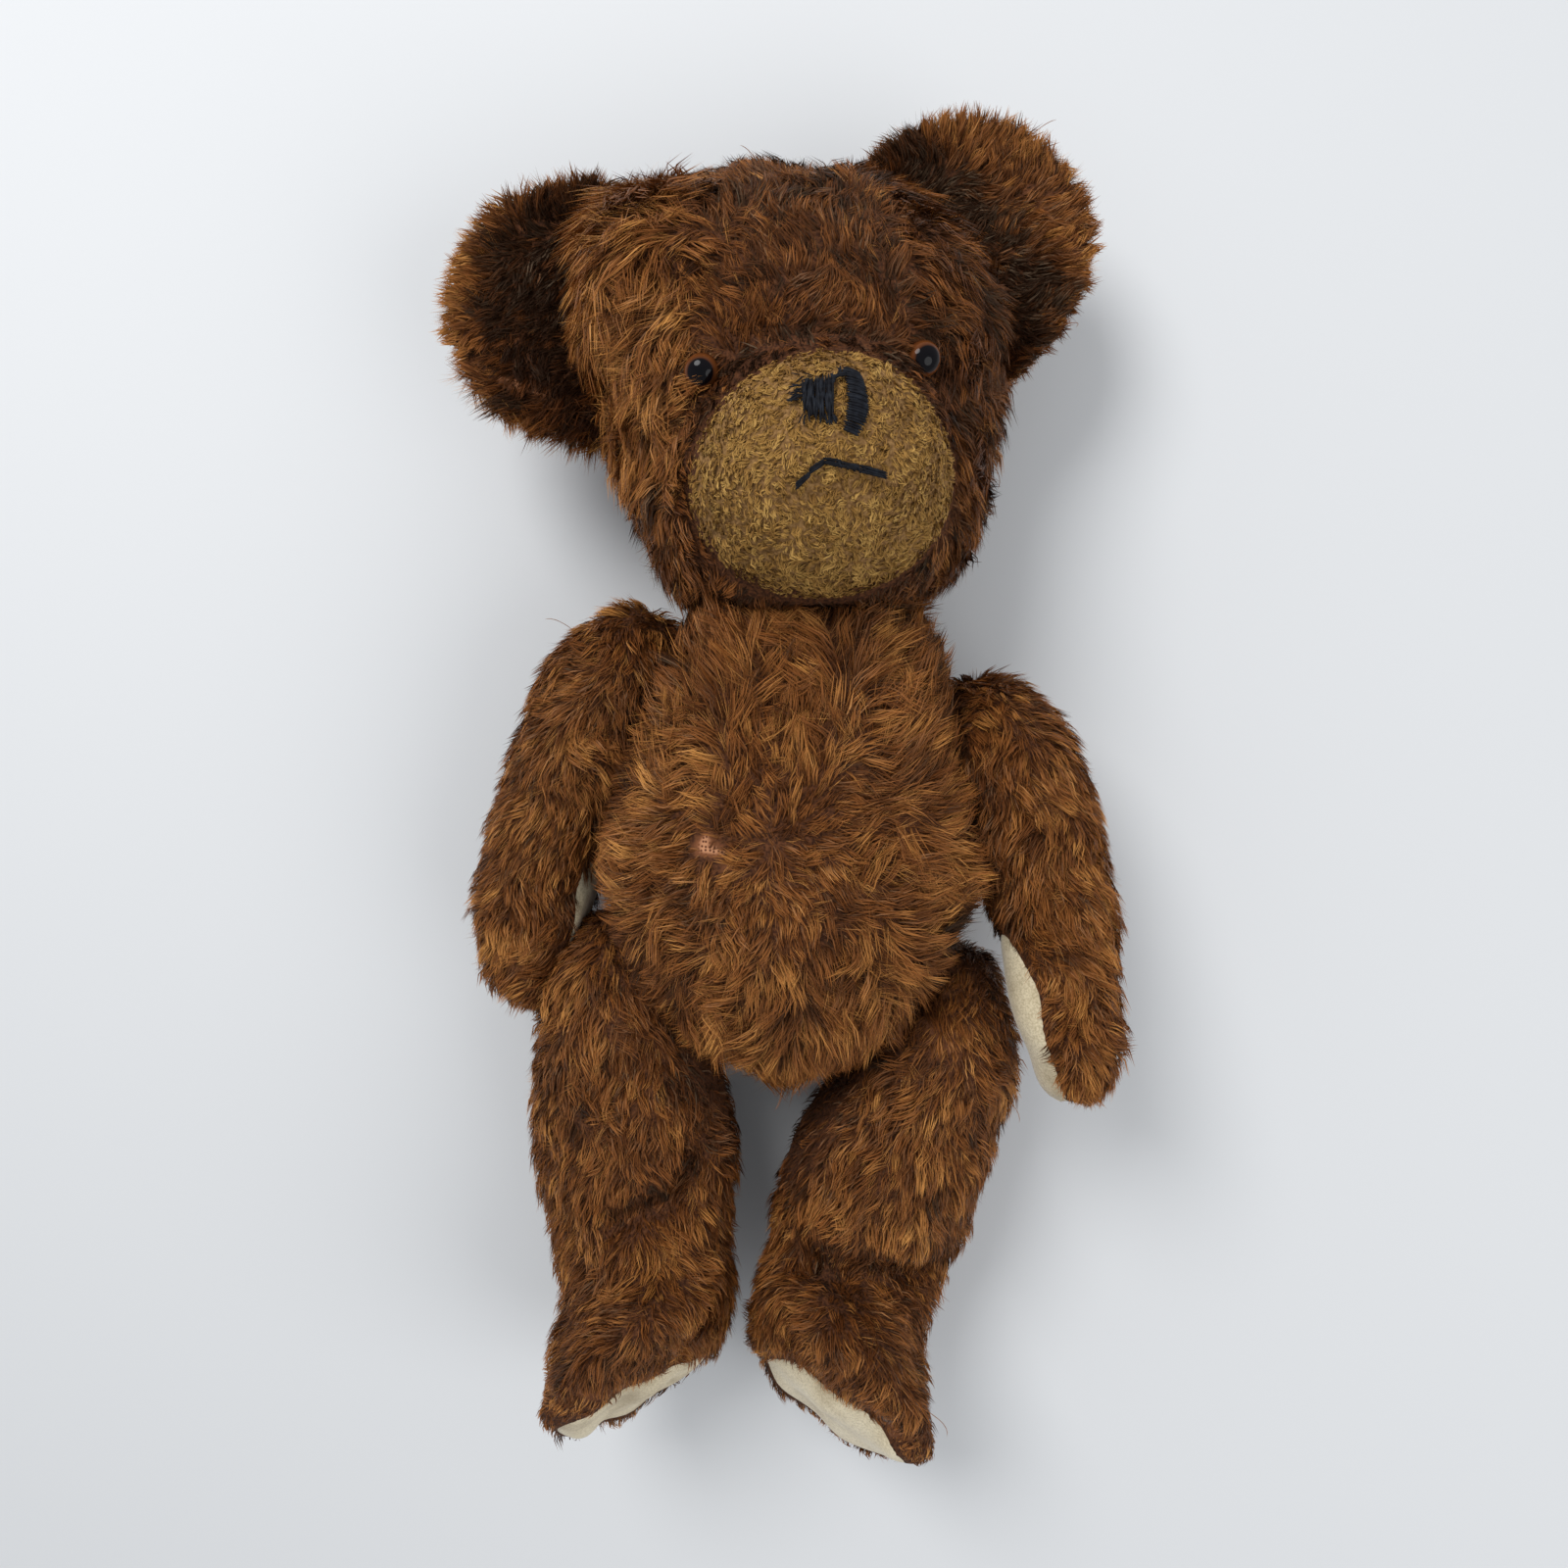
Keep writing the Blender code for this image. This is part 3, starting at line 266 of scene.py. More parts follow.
class Form:
    """A closed oval body: its points, quads, pole triangles, normals and frame."""

    def __init__(self, sections, size, origin, axes, rings, around, turn=0.0, tilt=0.0, lift=0.0):
        self.length, self.width, self.depth = size
        self.origin = np.array(origin, float)
        self.u, self.v, self.w = (np.array(a, float) for a in axes)
        self.rows = spline(sections, rings)
        rows = self.rows[1:-1]
        t = np.linspace(0, 2 * math.pi, around, endpoint=False)
        half_width = rows[:, 3:4] * self.width / 2
        half_depth = rows[:, 4:5] * self.depth / 2
        side = rows[:, 1:2] * self.width + half_width * np.cos(t)
        front = rows[:, 2:3] * self.depth + half_depth * np.sin(t)
        share = np.clip((rows[:, 0:1] - 0.45) / 0.35, 0.0, 1.0)
        slope = tilt * side + lift * half_depth * np.sin(t)
        along = rows[:, 0:1] * self.length - share * slope
        points = self.place(along, side, front, turn).reshape(-1, 3)
        ends = []
        for row in (self.rows[0], self.rows[-1]):
            ends.append(self.place(row[0] * self.length, row[1] * self.width, row[2] * self.depth, turn))
        self.verts = np.concatenate([[ends[0]], points, [ends[1]]])
        self.close(len(rows), around)
        middle = self.verts.mean(axis=0)
        corners = self.verts[self.quads]
        facing = np.cross(corners[:, 1] - corners[:, 0], corners[:, 2] - corners[:, 0])
        if np.sum(facing * (corners.mean(axis=1) - middle)) < 0:
            self.turn_over()
        self.finish()

    def close(self, rings, around):
        """Faces over all rings, with a fan at both ends."""
        self.quads = ring_quads(rings, around, 1)
        first_cap = fan(0, 1, around)[:, [0, 2, 1]]
        last_cap = fan(len(self.verts) - 1, 1 + (rings - 1) * around, around)
        self.caps = np.concatenate([first_cap, last_cap])

    def turn_over(self):
        self.quads = self.quads[:, ::-1]
        self.caps = self.caps[:, ::-1]

    def place(self, along, side, front, turn):
        c, s = math.cos(turn), math.sin(turn)
        turned_side = side * c + front * s
        turned_front = front * c - side * s
        parts = (along, self.w), (turned_side, self.u), (turned_front, self.v)
        return self.origin + sum(np.asarray(amount)[..., None] * axis for amount, axis in parts)

    def finish(self):
        """Works out triangles and point normals after the points have moved."""
        q = self.quads
        self.triangles = np.concatenate([q[:, [0, 1, 2]], q[:, [0, 2, 3]], self.caps])
        corners = self.verts[self.triangles]
        area = np.cross(corners[:, 1] - corners[:, 0], corners[:, 2] - corners[:, 0])
        normals = np.zeros_like(self.verts)
        for k in range(3):
            np.add.at(normals, self.triangles[:, k], area)
        self.normals = normalised(normals)
        self.areas = np.linalg.norm(area, axis=1) / 2

    def swell(self, amount):
        """Moves the points along their normals by an amount for each."""
        self.verts = self.verts + self.normals * np.asarray(amount)[:, None]
        self.finish()

    def tree(self):
        return BVHTree.FromPolygons(self.verts.tolist(), self.triangles.tolist())


def clamp(points, plane_point, axis, keep_below, gap):
    """Moves what passes the plane back onto it, half a gap short of the plane."""
    side = (points - plane_point) @ axis
    if keep_below:
        over = np.maximum(side + gap / 2, 0.0)
    else:
        over = np.minimum(side - gap / 2, 0.0)
    return points - over[..., None] * axis


TORSO_PLANES = {
    "head": (NECK_POINT, NECK_AXIS),
    "right_arm": (SHOULDER_POINT["right"], SHOULDER_AXIS["right"]),
    "left_arm": (SHOULDER_POINT["left"], SHOULDER_AXIS["left"]),
    "right_leg": (HIP_POINT["right"], HIP_AXIS["right"]),
    "left_leg": (HIP_POINT["left"], HIP_AXIS["left"]),
}


def bound_cloth(body, points):
    """Cloth stays on its side of its body's joint planes and above the floor."""
    if body == "torso":
        for plane_point, axis in TORSO_PLANES.values():
            points = clamp(points, plane_point, axis, True, CLEARANCE)
    else:
        plane_point, axis = TORSO_PLANES[body]
        points = clamp(points, plane_point, axis, False, CLEARANCE)
    points[..., 2] = np.maximum(points[..., 2], 0.0)
    return points


def bounded(form, body):
    form.verts = bound_cloth(body, form.verts)
    form.finish()
    return form


def inside(tree, points):
    """Which points lie inside a closed form."""
    held = np.zeros(len(points), bool)
    for index, point in enumerate(points.tolist()):
        hit, normal, _, _ = tree.find_nearest(point)
        held[index] = (Vector(point) - hit).dot(normal) < PILE_ROOM
    return held


def bound_pile(body, points, forms):
    """Pile may hang over a joint plane where it is clear of the body on the other side."""
    others = list(TORSO_PLANES) if body == "torso" else ["torso"]
    sign = 1.0 if body == "torso" else -1.0
    for other in others:
        plane_point, axis = TORSO_PLANES[other if body == "torso" else body]
        over = sign * ((points - plane_point) @ axis) + CLEARANCE / 2
        crossing = np.flatnonzero(over > 0)
        tree = forms[other].tree()
        held = inside(tree, points[crossing])
        back = np.where(held, over[crossing], np.maximum(over[crossing] - PILE_OVERHANG, 0.0))
        points[crossing] -= sign * back[:, None] * axis
    points[:, 2] = np.maximum(points[:, 2], 0.0)
    return points


def limb_axes(direction, axis):
    w = unit(direction)
    v = unit(UP - w * (UP @ w))
    u = np.cross(v, w)
    if u @ axis < 0:
        u = -u
    return u, v, w


HEAD_BASE = NECK_POINT - HEAD_UP * (0.030 * HEAD_HEIGHT) + np.array((0.0, 0.0, 0.004))
HEAD_RIGHT = unit(np.cross(HEAD_UP, HEAD_FRONT))
HEAD_FORWARD = unit(np.cross(HEAD_RIGHT, HEAD_UP))
HEAD_MIDDLE = HEAD_BASE + HEAD_UP * (0.5 * HEAD_HEIGHT)


def head_point(side, up, front):
    return HEAD_MIDDLE + HEAD_RIGHT * side + HEAD_UP * up + HEAD_FORWARD * front


def head_local(points):
    """Side and up as shares of the head's half sizes, and front in metres."""
    away = points - HEAD_MIDDLE
    return away @ HEAD_RIGHT / (HEAD_WIDTH / 2), away @ HEAD_UP / (HEAD_HEIGHT / 2), away @ HEAD_FORWARD


def muzzle_far(points):
    """Distance from the muzzle's middle as a share of its half sizes, and which points face front."""
    away = points - HEAD_MIDDLE
    side = (away @ HEAD_RIGHT - MUZZLE_CENTRE[0] * HEAD_WIDTH) / (MUZZLE_WIDTH / 2)
    up = (away @ HEAD_UP - MUZZLE_CENTRE[1] * HEAD_HEIGHT) / (MUZZLE_HEIGHT / 2)
    up = np.where(up < 0, up / MUZZLE_CHIN, up)
    return np.hypot(side, up), away @ HEAD_FORWARD > 0


def make_torso_form():
    origin = (0, -0.5 * TORSO_LENGTH, -0.03 * TORSO_DEPTH)
    axes = ((1, 0, 0), (0, 0, 1), (0, 1, 0))
    form = Form(TORSO_SECTIONS, (TORSO_LENGTH, TORSO_WIDTH, TORSO_DEPTH), origin, axes, 74, 92)
    form.swell(0.0011 * waves(form.verts, 0.045, 11))
    return bounded(form, "torso")


def make_head_form():
    axes = (HEAD_RIGHT, HEAD_FORWARD, HEAD_UP)
    form = Form(HEAD_SECTIONS, (HEAD_HEIGHT, HEAD_WIDTH, HEAD_DEPTH), HEAD_BASE, axes, 112, 124)
    far, ahead = muzzle_far(form.verts)
    share = np.cos(np.clip(far / MUZZLE_SPREAD, 0, 1) * math.pi / 2) ** 0.8
    share[far >= MUZZLE_SPREAD] = 0.0
    form.verts = form.verts + (share * ahead * MUZZLE_RISE)[:, None] * HEAD_FORWARD
    form.finish()
    far, ahead = muzzle_far(form.verts)
    seam = np.exp(-(((far - 1.02) / 0.045) ** 2)) * ahead
    side, up, _ = head_local(form.verts)
    crown = np.exp(-(((side + 0.76) / 0.40) ** 2) - ((up - 0.62) / 0.34) ** 2)
    form.swell(-0.0022 * seam + 0.0125 * crown + 0.0009 * waves(form.verts, 0.04, 12) * (far > 1.1))
    return bounded(form, "head")


def fill_inner_side(form, length, middle, spread, amount):
    """Push out the side of a limb that faces the other one, about a share of its length."""
    along = (form.verts - form.origin) @ form.w / length
    inner = smooth(0.1, 0.9, -(form.normals @ form.u))
    form.swell(amount * inner * np.exp(-(((along - middle) / spread) ** 2)))


def make_arm_form(side):
    axis = SHOULDER_AXIS[side]
    axes = limb_axes(ARM_DIRECTION[side], axis)
    origin = SHOULDER_POINT[side] + axis * (0.35 * ARM_WIDTH)
    form = Form(ARM_SECTIONS, (ARM_LENGTH, ARM_WIDTH, ARM_DEPTH), origin, axes, 62, 56)
    form.swell(0.0009 * waves(form.verts, 0.035, 13))
    if side == "right":
        fill_inner_side(form, ARM_LENGTH, 0.72, 0.24, 0.0105)
    return bounded(form, f"{side}_arm")


def make_leg_form(side):
    axis = HIP_AXIS[side]
    axes = limb_axes(LEG_DIRECTION[side], axis)
    origin = HIP_POINT[side] + axis * (0.29 * LEG_WIDTH)
    scale = FOOT_LENGTH / LEG_DEPTH
    sections = list(LEG_SECTIONS)
    for along, middle, front, half_width, half_depth in FOOT_SECTIONS:
        sections.append((along, middle, front * scale, half_width, half_depth * scale))
    size = (LEG_LENGTH, LEG_WIDTH, LEG_DEPTH)
    form = Form(sections, size, origin, axes, 78, 76, FOOT_TURN[side], -SOLE_TILT, SOLE_LIFT)
    form.swell(0.0009 * waves(form.verts, 0.035, 14))
    fill_inner_side(form, LEG_LENGTH, 0.86, 0.16, ANKLE_FILL[side])
    if side == "left":
        away = np.linalg.norm(form.verts - PAW_PASSES, axis=1)
        form.swell(-0.0022 * np.exp(-((away / 0.016) ** 2)))
    return bounded(form, f"{side}_leg")


# Mesh building.
def mesh_object(name, verts, corner_lists):
    mesh = bpy.data.meshes.new(name)
    loops = np.concatenate([np.asarray(c).ravel() for c in corner_lists]).astype(np.int32)
    sizes = np.concatenate([np.full(len(c), np.asarray(c).shape[1]) for c in corner_lists])
    starts = np.concatenate([[0], np.cumsum(sizes)[:-1]]).astype(np.int32)
    mesh.vertices.add(len(verts))
    mesh.vertices.foreach_set("co", np.asarray(verts, np.float32).ravel())
    mesh.loops.add(len(loops))
    mesh.loops.foreach_set("vertex_index", loops)
    mesh.polygons.add(len(sizes))
    mesh.polygons.foreach_set("loop_start", starts)
    mesh.polygons.foreach_set("use_smooth", np.ones(len(sizes), bool))
    mesh.update(calc_edges=True)
    item = bpy.data.objects.new(name, mesh)
    bpy.context.scene.collection.objects.link(item)
    return item


def set_bake_uv(item, uv):
    layer = item.data.uv_layers.new(name="OFBake")
    layer.data.foreach_set("uv", np.asarray(uv, np.float32).ravel())


def set_attribute(item, name, values):
    data = item.data.attributes.new(name, "FLOAT", "POINT")
    data.data.foreach_set("value", np.asarray(values, np.float32))


def form_object(name, form):
    return mesh_object(name, form.verts, [form.quads, form.caps])


# Pile.
def scatter(form, count, density, rng):
    """Random spots on a form with their normals; density is asked at the triangle centres."""
    centres = form.verts[form.triangles].mean(axis=1)
    facing = normalised(form.normals[form.triangles].mean(axis=1))
    weight = form.areas * density(centres, facing)
    total = weight.sum()
    chosen = rng.choice(len(weight), size=count, p=weight / total)
    a = np.sqrt(rng.random(count))[:, None]
    b = rng.random(count)[:, None]
    corners = form.verts[form.triangles[chosen]]
    ends = form.normals[form.triangles[chosen]]
    spots = corners[:, 0] * (1 - a) + corners[:, 1] * a * (1 - b) + corners[:, 2] * a * b
    normals = ends[:, 0] * (1 - a) + ends[:, 1] * a * (1 - b) + ends[:, 2] * a * b
    return spots, normalised(normals)


def nearest(sources, points):
    tree = KDTree(len(sources))
    for index, point in enumerate(sources.tolist()):
        tree.insert(point, index)
    tree.balance()
    return np.array([tree.find(point)[1] for point in points.tolist()])


def turned(flow, normal, angle):
    side = np.cross(normal, flow)
    return flow * np.cos(angle)[:, None] + side * np.sin(angle)[:, None]


ROOT_DEPTH = 0.0004
CURL_TURN = 5.5
CURL_RISE = 0.4


def hair_lines(steps, roots, normals, flow, length, lift, curl, phase):
    """Points along each hair: it leaves the cloth at a slope, lies over and waves."""
    side = np.cross(normals, flow)
    lines = [roots - normals * ROOT_DEPTH]
    spot = roots
    for k in range(steps):
        s = (k + 0.5) / steps
        up = (lift * (1 - s) ** 0.8)[:, None]
        spot = spot + (normals * up + flow * np.sqrt(1 - up**2)) * (length / steps)[:, None]
        end = (k + 1) / steps
        swing = (curl * length * end)[:, None]
        turn = (phase + CURL_TURN * end)[:, None]
        lines.append(spot + (side * np.sin(turn) + normals * CURL_RISE * np.cos(turn)) * swing)
    return np.stack(lines, axis=1)


class Pile:
    """What a patch of pile is like; the maps take points and normals and give one value for each."""

    def __init__(self, **settings):
        self.count = 20000
        self.steps = 2
        self.per_lock = 11
        self.width = 0.00042
        self.lift = 0.58
        self.curl = 0.07
        self.clump = 0.62
        self.stray = 0.04
        self.swirl = 0.50
        self.spread = 0.16
        self.variety = 0.145
        self.tuft = 0.16
        self.seed = 1
        self.__dict__.update(settings)


SWIRL_SIZE = 0.028
LOCK_LENGTHS = (0.70, 1.32)
LOCK_CURLS = (0.5, 1.6)
HAIR_LENGTHS = (0.72, 1.12)
HAIR_TURN = 0.22
HAIR_LIFT = 0.10
HAIR_TINT = 0.07
HAIR_GIRTHS = (0.7, 1.3)
LOOSE_PULL = 0.1
LIFT_LIMITS = (0.05, 0.95)
LOCK_LIFT_LIMITS = (0.08, 0.95)
PHASE_SPREAD = 0.5
PULL_SHARES = (0.7, 1.0)
PULL_GROWTH = 1.2
GUIDE_REACH = (0.3, 1.3)
BLADE_TAPER = 0.30
BAKE_WIDTH = 0.004


def on_surface(flow, normals):
    """Directions laid into the cloth's surface."""
    return normalised(flow - normals * np.sum(flow * normals, axis=1)[:, None])


def grow(name, body, form, pile):
    """A mesh of ribbons, gathered into locks, for the pile of one form."""
    rng = np.random.default_rng(pile.seed)
    count = pile.count
    steps = pile.steps
    lock_count = max(count // pile.per_lock, 12)
    lock_roots, lock_normals = scatter(form, lock_count, pile.density, rng)
    lock_flow = on_surface(pile.flow(lock_roots, lock_normals), lock_normals)
    angle = pile.swirl * waves(lock_roots, SWIRL_SIZE, pile.seed + 5)
    angle = angle + rng.normal(0, pile.spread, lock_count)
    lock_flow = turned(lock_flow, lock_normals, angle)
    lock_share = rng.uniform(*LOCK_LENGTHS, lock_count)
    lock_length = pile.length(lock_roots, lock_normals) * lock_share
    lock_lift = np.clip(pile.lift + rng.normal(0, pile.tuft, lock_count), *LOCK_LIFT_LIMITS)
    lock_phase = rng.uniform(0, 2 * math.pi, lock_count)
    lock_curl = pile.curl * rng.uniform(*LOCK_CURLS, lock_count)
    shape = (lock_length, lock_lift, lock_curl, lock_phase)
    guides = hair_lines(steps, lock_roots, lock_normals, lock_flow, *shape)
    lock_tint = pile.tint(lock_roots, lock_normals) + rng.normal(0, pile.variety, lock_count)

    roots, normals = scatter(form, count, pile.density, rng)
    owner = nearest(lock_roots, roots)
    flow = turned(on_surface(lock_flow[owner], normals), normals, rng.normal(0, HAIR_TURN, count))
    own = rng.uniform(*HAIR_LENGTHS, count)
    length = pile.length(roots, normals) * lock_share[owner] * own
    lift = np.clip(lock_lift[owner] + rng.normal(0, HAIR_LIFT, count), *LIFT_LIMITS)
    phase = lock_phase[owner] + rng.normal(0, PHASE_SPREAD, count)
    lines = hair_lines(steps, roots, normals, flow, length, lift, lock_curl[owner], phase)
    pull = np.full(count, pile.clump) * rng.uniform(*PULL_SHARES, count)
    loose = rng.random(count) < pile.stray
    pull[loose] = LOOSE_PULL
    along = (np.arange(steps + 1) / steps) ** PULL_GROWTH
    reach = (length / np.maximum(lock_length[owner], 1e-6))[:, None, None]
    guide = guides[owner]
    guide = guide[:, :1] + (guide - guide[:, :1]) * np.clip(reach, *GUIDE_REACH)
    lines = lines + (guide - lines) * (pull[:, None] * along)[:, :, None]

    tangent = normalised(np.gradient(lines, axis=1))
    across = normalised(np.cross(tangent, normals[:, None, :]))
    lying = np.cross(across, tangent)
    roll = rng.uniform(-1.0, 1.0, count)[:, None, None]
    blade = across * np.cos(roll) + lying * np.sin(roll)
    taper = (1.0 - BLADE_TAPER * (np.arange(steps) / steps) ** 2)[None, :, None]
    half = (pile.width / 2 * rng.uniform(*HAIR_GIRTHS, count))[:, None, None] * taper
    left = lines[:, :-1] - blade[:, :-1] * half
    right = lines[:, :-1] + blade[:, :-1] * half
    edges = np.stack([left, right], axis=2).reshape(count, 2 * steps, 3)
    verts = np.concatenate([edges, lines[:, -1:]], axis=1)
    verts = bound_pile(body, verts.reshape(-1, 3), FORMS)

    each = 2 * steps + 1
    base = (np.arange(count) * each)[:, None]
    k = 2 * np.arange(steps - 1)
    corners = np.stack([k, k + 1, k + 3, k + 2], axis=-1)
    quads = (base[:, :, None] + corners[None]).reshape(-1, 4)
    tips = base + np.array([2 * steps - 2, 2 * steps - 1, 2 * steps])
    item = mesh_object(name, verts, [quads, tips] if steps > 1 else [tips])

    tint = np.clip(lock_tint[owner] + rng.normal(0, HAIR_TINT, count), 0.02, 0.98)
    v = np.append(np.repeat(np.arange(steps) / steps, 2), 1.0)
    u = tint[:, None] + np.append(np.tile([-BAKE_WIDTH, BAKE_WIDTH], steps), 0.0)
    uv = np.stack([u, np.broadcast_to(v, (count, each))], axis=-1).reshape(-1, 2)
    loops = np.concatenate([quads.ravel(), tips.ravel()])
    set_bake_uv(item, uv[loops])
    return item


# Materials.
def new_material(name, roughness, specular=0.35, glint=(1.0, 1.0, 1.0)):
    material = bpy.data.materials.new(name)
    material.use_nodes = True
    shader = material.node_tree.nodes["Principled BSDF"]
    shader.inputs["Roughness"].default_value = roughness
    shader.inputs["Specular IOR Level"].default_value = specular
    shader.inputs["Specular Tint"].default_value = (*glint, 1.0)
    return material, material.node_tree, shader


def add_node(tree, kind, **values):
    node = tree.nodes.new(kind)
    for key, value in values.items():
        setattr(node, key, value)
    return node


def ramp(tree, source, stops):
    node = tree.nodes.new("ShaderNodeValToRGB")
    elements = node.color_ramp.elements
    while len(elements) > 1:
        elements.remove(elements[-1])
    elements[0].position = stops[0][0]
    elements[0].color = (*stops[0][1], 1.0)
    for place, colour in stops[1:]:
        element = elements.new(place)
        element.color = (*colour, 1.0)
    tree.links.new(source, node.inputs["Fac"])
    return node.outputs["Color"]


def mix(tree, factor, first, second, mode="MIX"):
    node = add_node(tree, "ShaderNodeMix", data_type="RGBA", blend_type=mode)
    for socket, value in ((node.inputs[0], factor), (node.inputs[6], first), (node.inputs[7], second)):
        if isinstance(value, bpy.types.NodeSocket):
            tree.links.new(value, socket)
        elif isinstance(value, tuple):
            socket.default_value = (*value, 1.0)
        else:
            socket.default_value = value
    return node.outputs[2]


def pile_material(name, root_stops, tip_stops, roughness, specular):
    """Colour from the bake map: tint across, root to tip upwards."""
    material, tree, shader = new_material(name, roughness, specular, PILE_GLINT)
    across, rise = bake_coords(tree)
    paint(tree, shader, mix(tree, rise, ramp(tree, across, root_stops), ramp(tree, across, tip_stops)))
    return material


def plain_material(name, colour):
    material, _, shader = new_material(name, 0.9, 0.1)
    shader.inputs["Base Color"].default_value = colour
    return material


def object_coords(tree):
    return tree.nodes.new("ShaderNodeTexCoord").outputs["Object"]


def noise(tree, scale, detail):
    node = tree.nodes.new("ShaderNodeTexNoise")
    node.inputs["Scale"].default_value = scale
    node.inputs["Detail"].default_value = detail
    tree.links.new(object_coords(tree), node.inputs["Vector"])
    return node.outputs["Fac"]


def bake_coords(tree):
    """Across and up of the bake map."""
    split = tree.nodes.new("ShaderNodeSeparateXYZ")
    tree.links.new(add_node(tree, "ShaderNodeUVMap", uv_map="OFBake").outputs["UV"], split.inputs[0])
    return split.outputs["X"], split.outputs["Y"]


def paint(tree, shader, colour):
    tree.links.new(colour, shader.inputs["Base Color"])


def bump(tree, shader, height, strength, distance):
    node = tree.nodes.new("ShaderNodeBump")
    node.inputs["Strength"].default_value = strength
    node.inputs["Distance"].default_value = distance
    tree.links.new(height, node.inputs["Height"])
    tree.links.new(node.outputs["Normal"], shader.inputs["Normal"])


PILE_GLINT = (1.0, 0.72, 0.45)
MOHAIR_ROOTS = [(0.0, (0.008, 0.003, 0.001)), (0.5, (0.050, 0.015, 0.005)), (1.0, (0.130, 0.046, 0.012))]
MOHAIR_TIPS = [
    (0.0, (0.014, 0.006, 0.004)),
    (0.30, (0.130, 0.039, 0.010)),
    (0.60, (0.335, 0.115, 0.027)),
    (1.0, (0.720, 0.330, 0.084)),
]
MUZZLE_ROOTS = [(0.0, (0.110, 0.052, 0.014)), (1.0, (0.260, 0.138, 0.036))]
MUZZLE_TIPS = [(0.0, (0.200, 0.096, 0.024)), (0.5, (0.375, 0.202, 0.052)), (1.0, (0.620, 0.385, 0.115))]
RUBBED = (0.230, 0.085, 0.036)
WEAVE_STOPS = [(0.18, (0.070, 0.020, 0.010)), (0.36, (0.480, 0.225, 0.115))]
WEAVE_SCALE = 720.0
FELT_STOPS = [(0.30, (0.440, 0.350, 0.215)), (0.52, (0.700, 0.600, 0.410)), (0.75, (0.780, 0.690, 0.500))]
FELT_SPECKS = [(0.35, (0.72, 0.70, 0.66)), (0.6, (1.0, 1.0, 1.0))]
FLOSS_STOPS = [(0.4, (0.003, 0.003, 0.005)), (0.75, (0.014, 0.017, 0.024))]


def backing_material(name, base, dark):
    """Cloth under the pile: reddish where the attribute worn is high, and woven where it is bare."""
    material, tree, shader = new_material(name, 0.9, 0.15)
    worn = add_node(tree, "ShaderNodeAttribute", attribute_name="worn").outputs["Fac"]
    streak = ramp(tree, noise(tree, 900.0, 3.0), [(0.35, dark), (0.65, base)])
    weave = add_node(tree, "ShaderNodeTexVoronoi", voronoi_dimensions="2D")
    weave.inputs["Scale"].default_value = WEAVE_SCALE
    weave.inputs["Randomness"].default_value = 0.40
    tree.links.new(object_coords(tree), weave.inputs["Vector"])
    cloth = ramp(tree, weave.outputs["Distance"], WEAVE_STOPS)
    bare = add_node(tree, "ShaderNodeMapRange", interpolation_type="SMOOTHSTEP")
    bare.inputs["From Min"].default_value = 0.62
    bare.inputs["From Max"].default_value = 0.95
    tree.links.new(worn, bare.inputs["Value"])
    thin = mix(tree, worn, streak, ramp(tree, worn, [(0.0, dark), (0.6, RUBBED)]))
    paint(tree, shader, mix(tree, bare.outputs["Result"], thin, cloth))
    bump(tree, shader, weave.outputs["Distance"], 0.5, 0.0003)
    return material


def felt_material(name):
    material, tree, shader = new_material(name, 0.95, 0.15)
    fibres = noise(tree, 1400.0, 3.0)
    base = ramp(tree, noise(tree, 55.0, 5.0), FELT_STOPS)
    paint(tree, shader, mix(tree, 1.0, base, ramp(tree, fibres, FELT_SPECKS), "MULTIPLY"))
    shader.inputs["Sheen Weight"].default_value = 0.25
    bump(tree, shader, fibres, 0.35, 0.0004)
    return material


def floss_material(name):
    material, tree, shader = new_material(name, 0.65, 0.15)
    paint(tree, shader, ramp(tree, noise(tree, 420.0, 3.0), FLOSS_STOPS))
    bump(tree, shader, noise(tree, 2600.0, 2.0), 0.4, 0.0002)
    return material


# Where the pile is worn: photograph pixels from and to, radius in metres, how bare it is (0 to 1).
WORN_PLACES = {
    "torso": [
        ((718, 862), (732, 868), 0.0036, 1.0),
        ((735, 874), (738, 878), 0.0026, 0.9),
    ],
    "left_arm": [((992, 795), (1000, 802), 0.0040, 0.6)],
    "right_arm": [((523, 752), (527, 758), 0.0022, 0.9), ((528, 985), (533, 990), 0.003, 0.6)],
    "right_leg": [((584, 1310), (592, 1420), 0.0016, 0.9), ((600, 1425), (650, 1410), 0.003, 0.5)],
    "left_leg": [
        ((925, 1345), (920, 1462), 0.0016, 0.9),
        ((880, 1425), (915, 1465), 0.0035, 0.55),
        ((950, 1055), (975, 1065), 0.006, 0.4),
    ],
    "head": [((950, 392), (968, 405), 0.0045, 0.6), ((985, 390), (990, 420), 0.0035, 0.4)],
    "left_ear": [((1050, 200), (1070, 208), 0.007, 0.45), ((1080, 225), (1095, 260), 0.004, 0.4)],
    "right_ear": [((470, 360), (520, 388), 0.0022, 0.8), ((520, 388), (570, 410), 0.0022, 0.8)],
}

# Deep creases of the cloth: photograph pixels from and to, half width and depth in metres.
CREASES = {
    "left_leg": [((812, 1285), (870, 1303), 0.0058, 0.0120), ((870, 1303), (950, 1303), 0.0058, 0.0120)],
    "right_leg": [((625, 1248), (690, 1220), 0.0040, 0.0065), ((690, 1220), (755, 1182), 0.0040, 0.0065)],
}


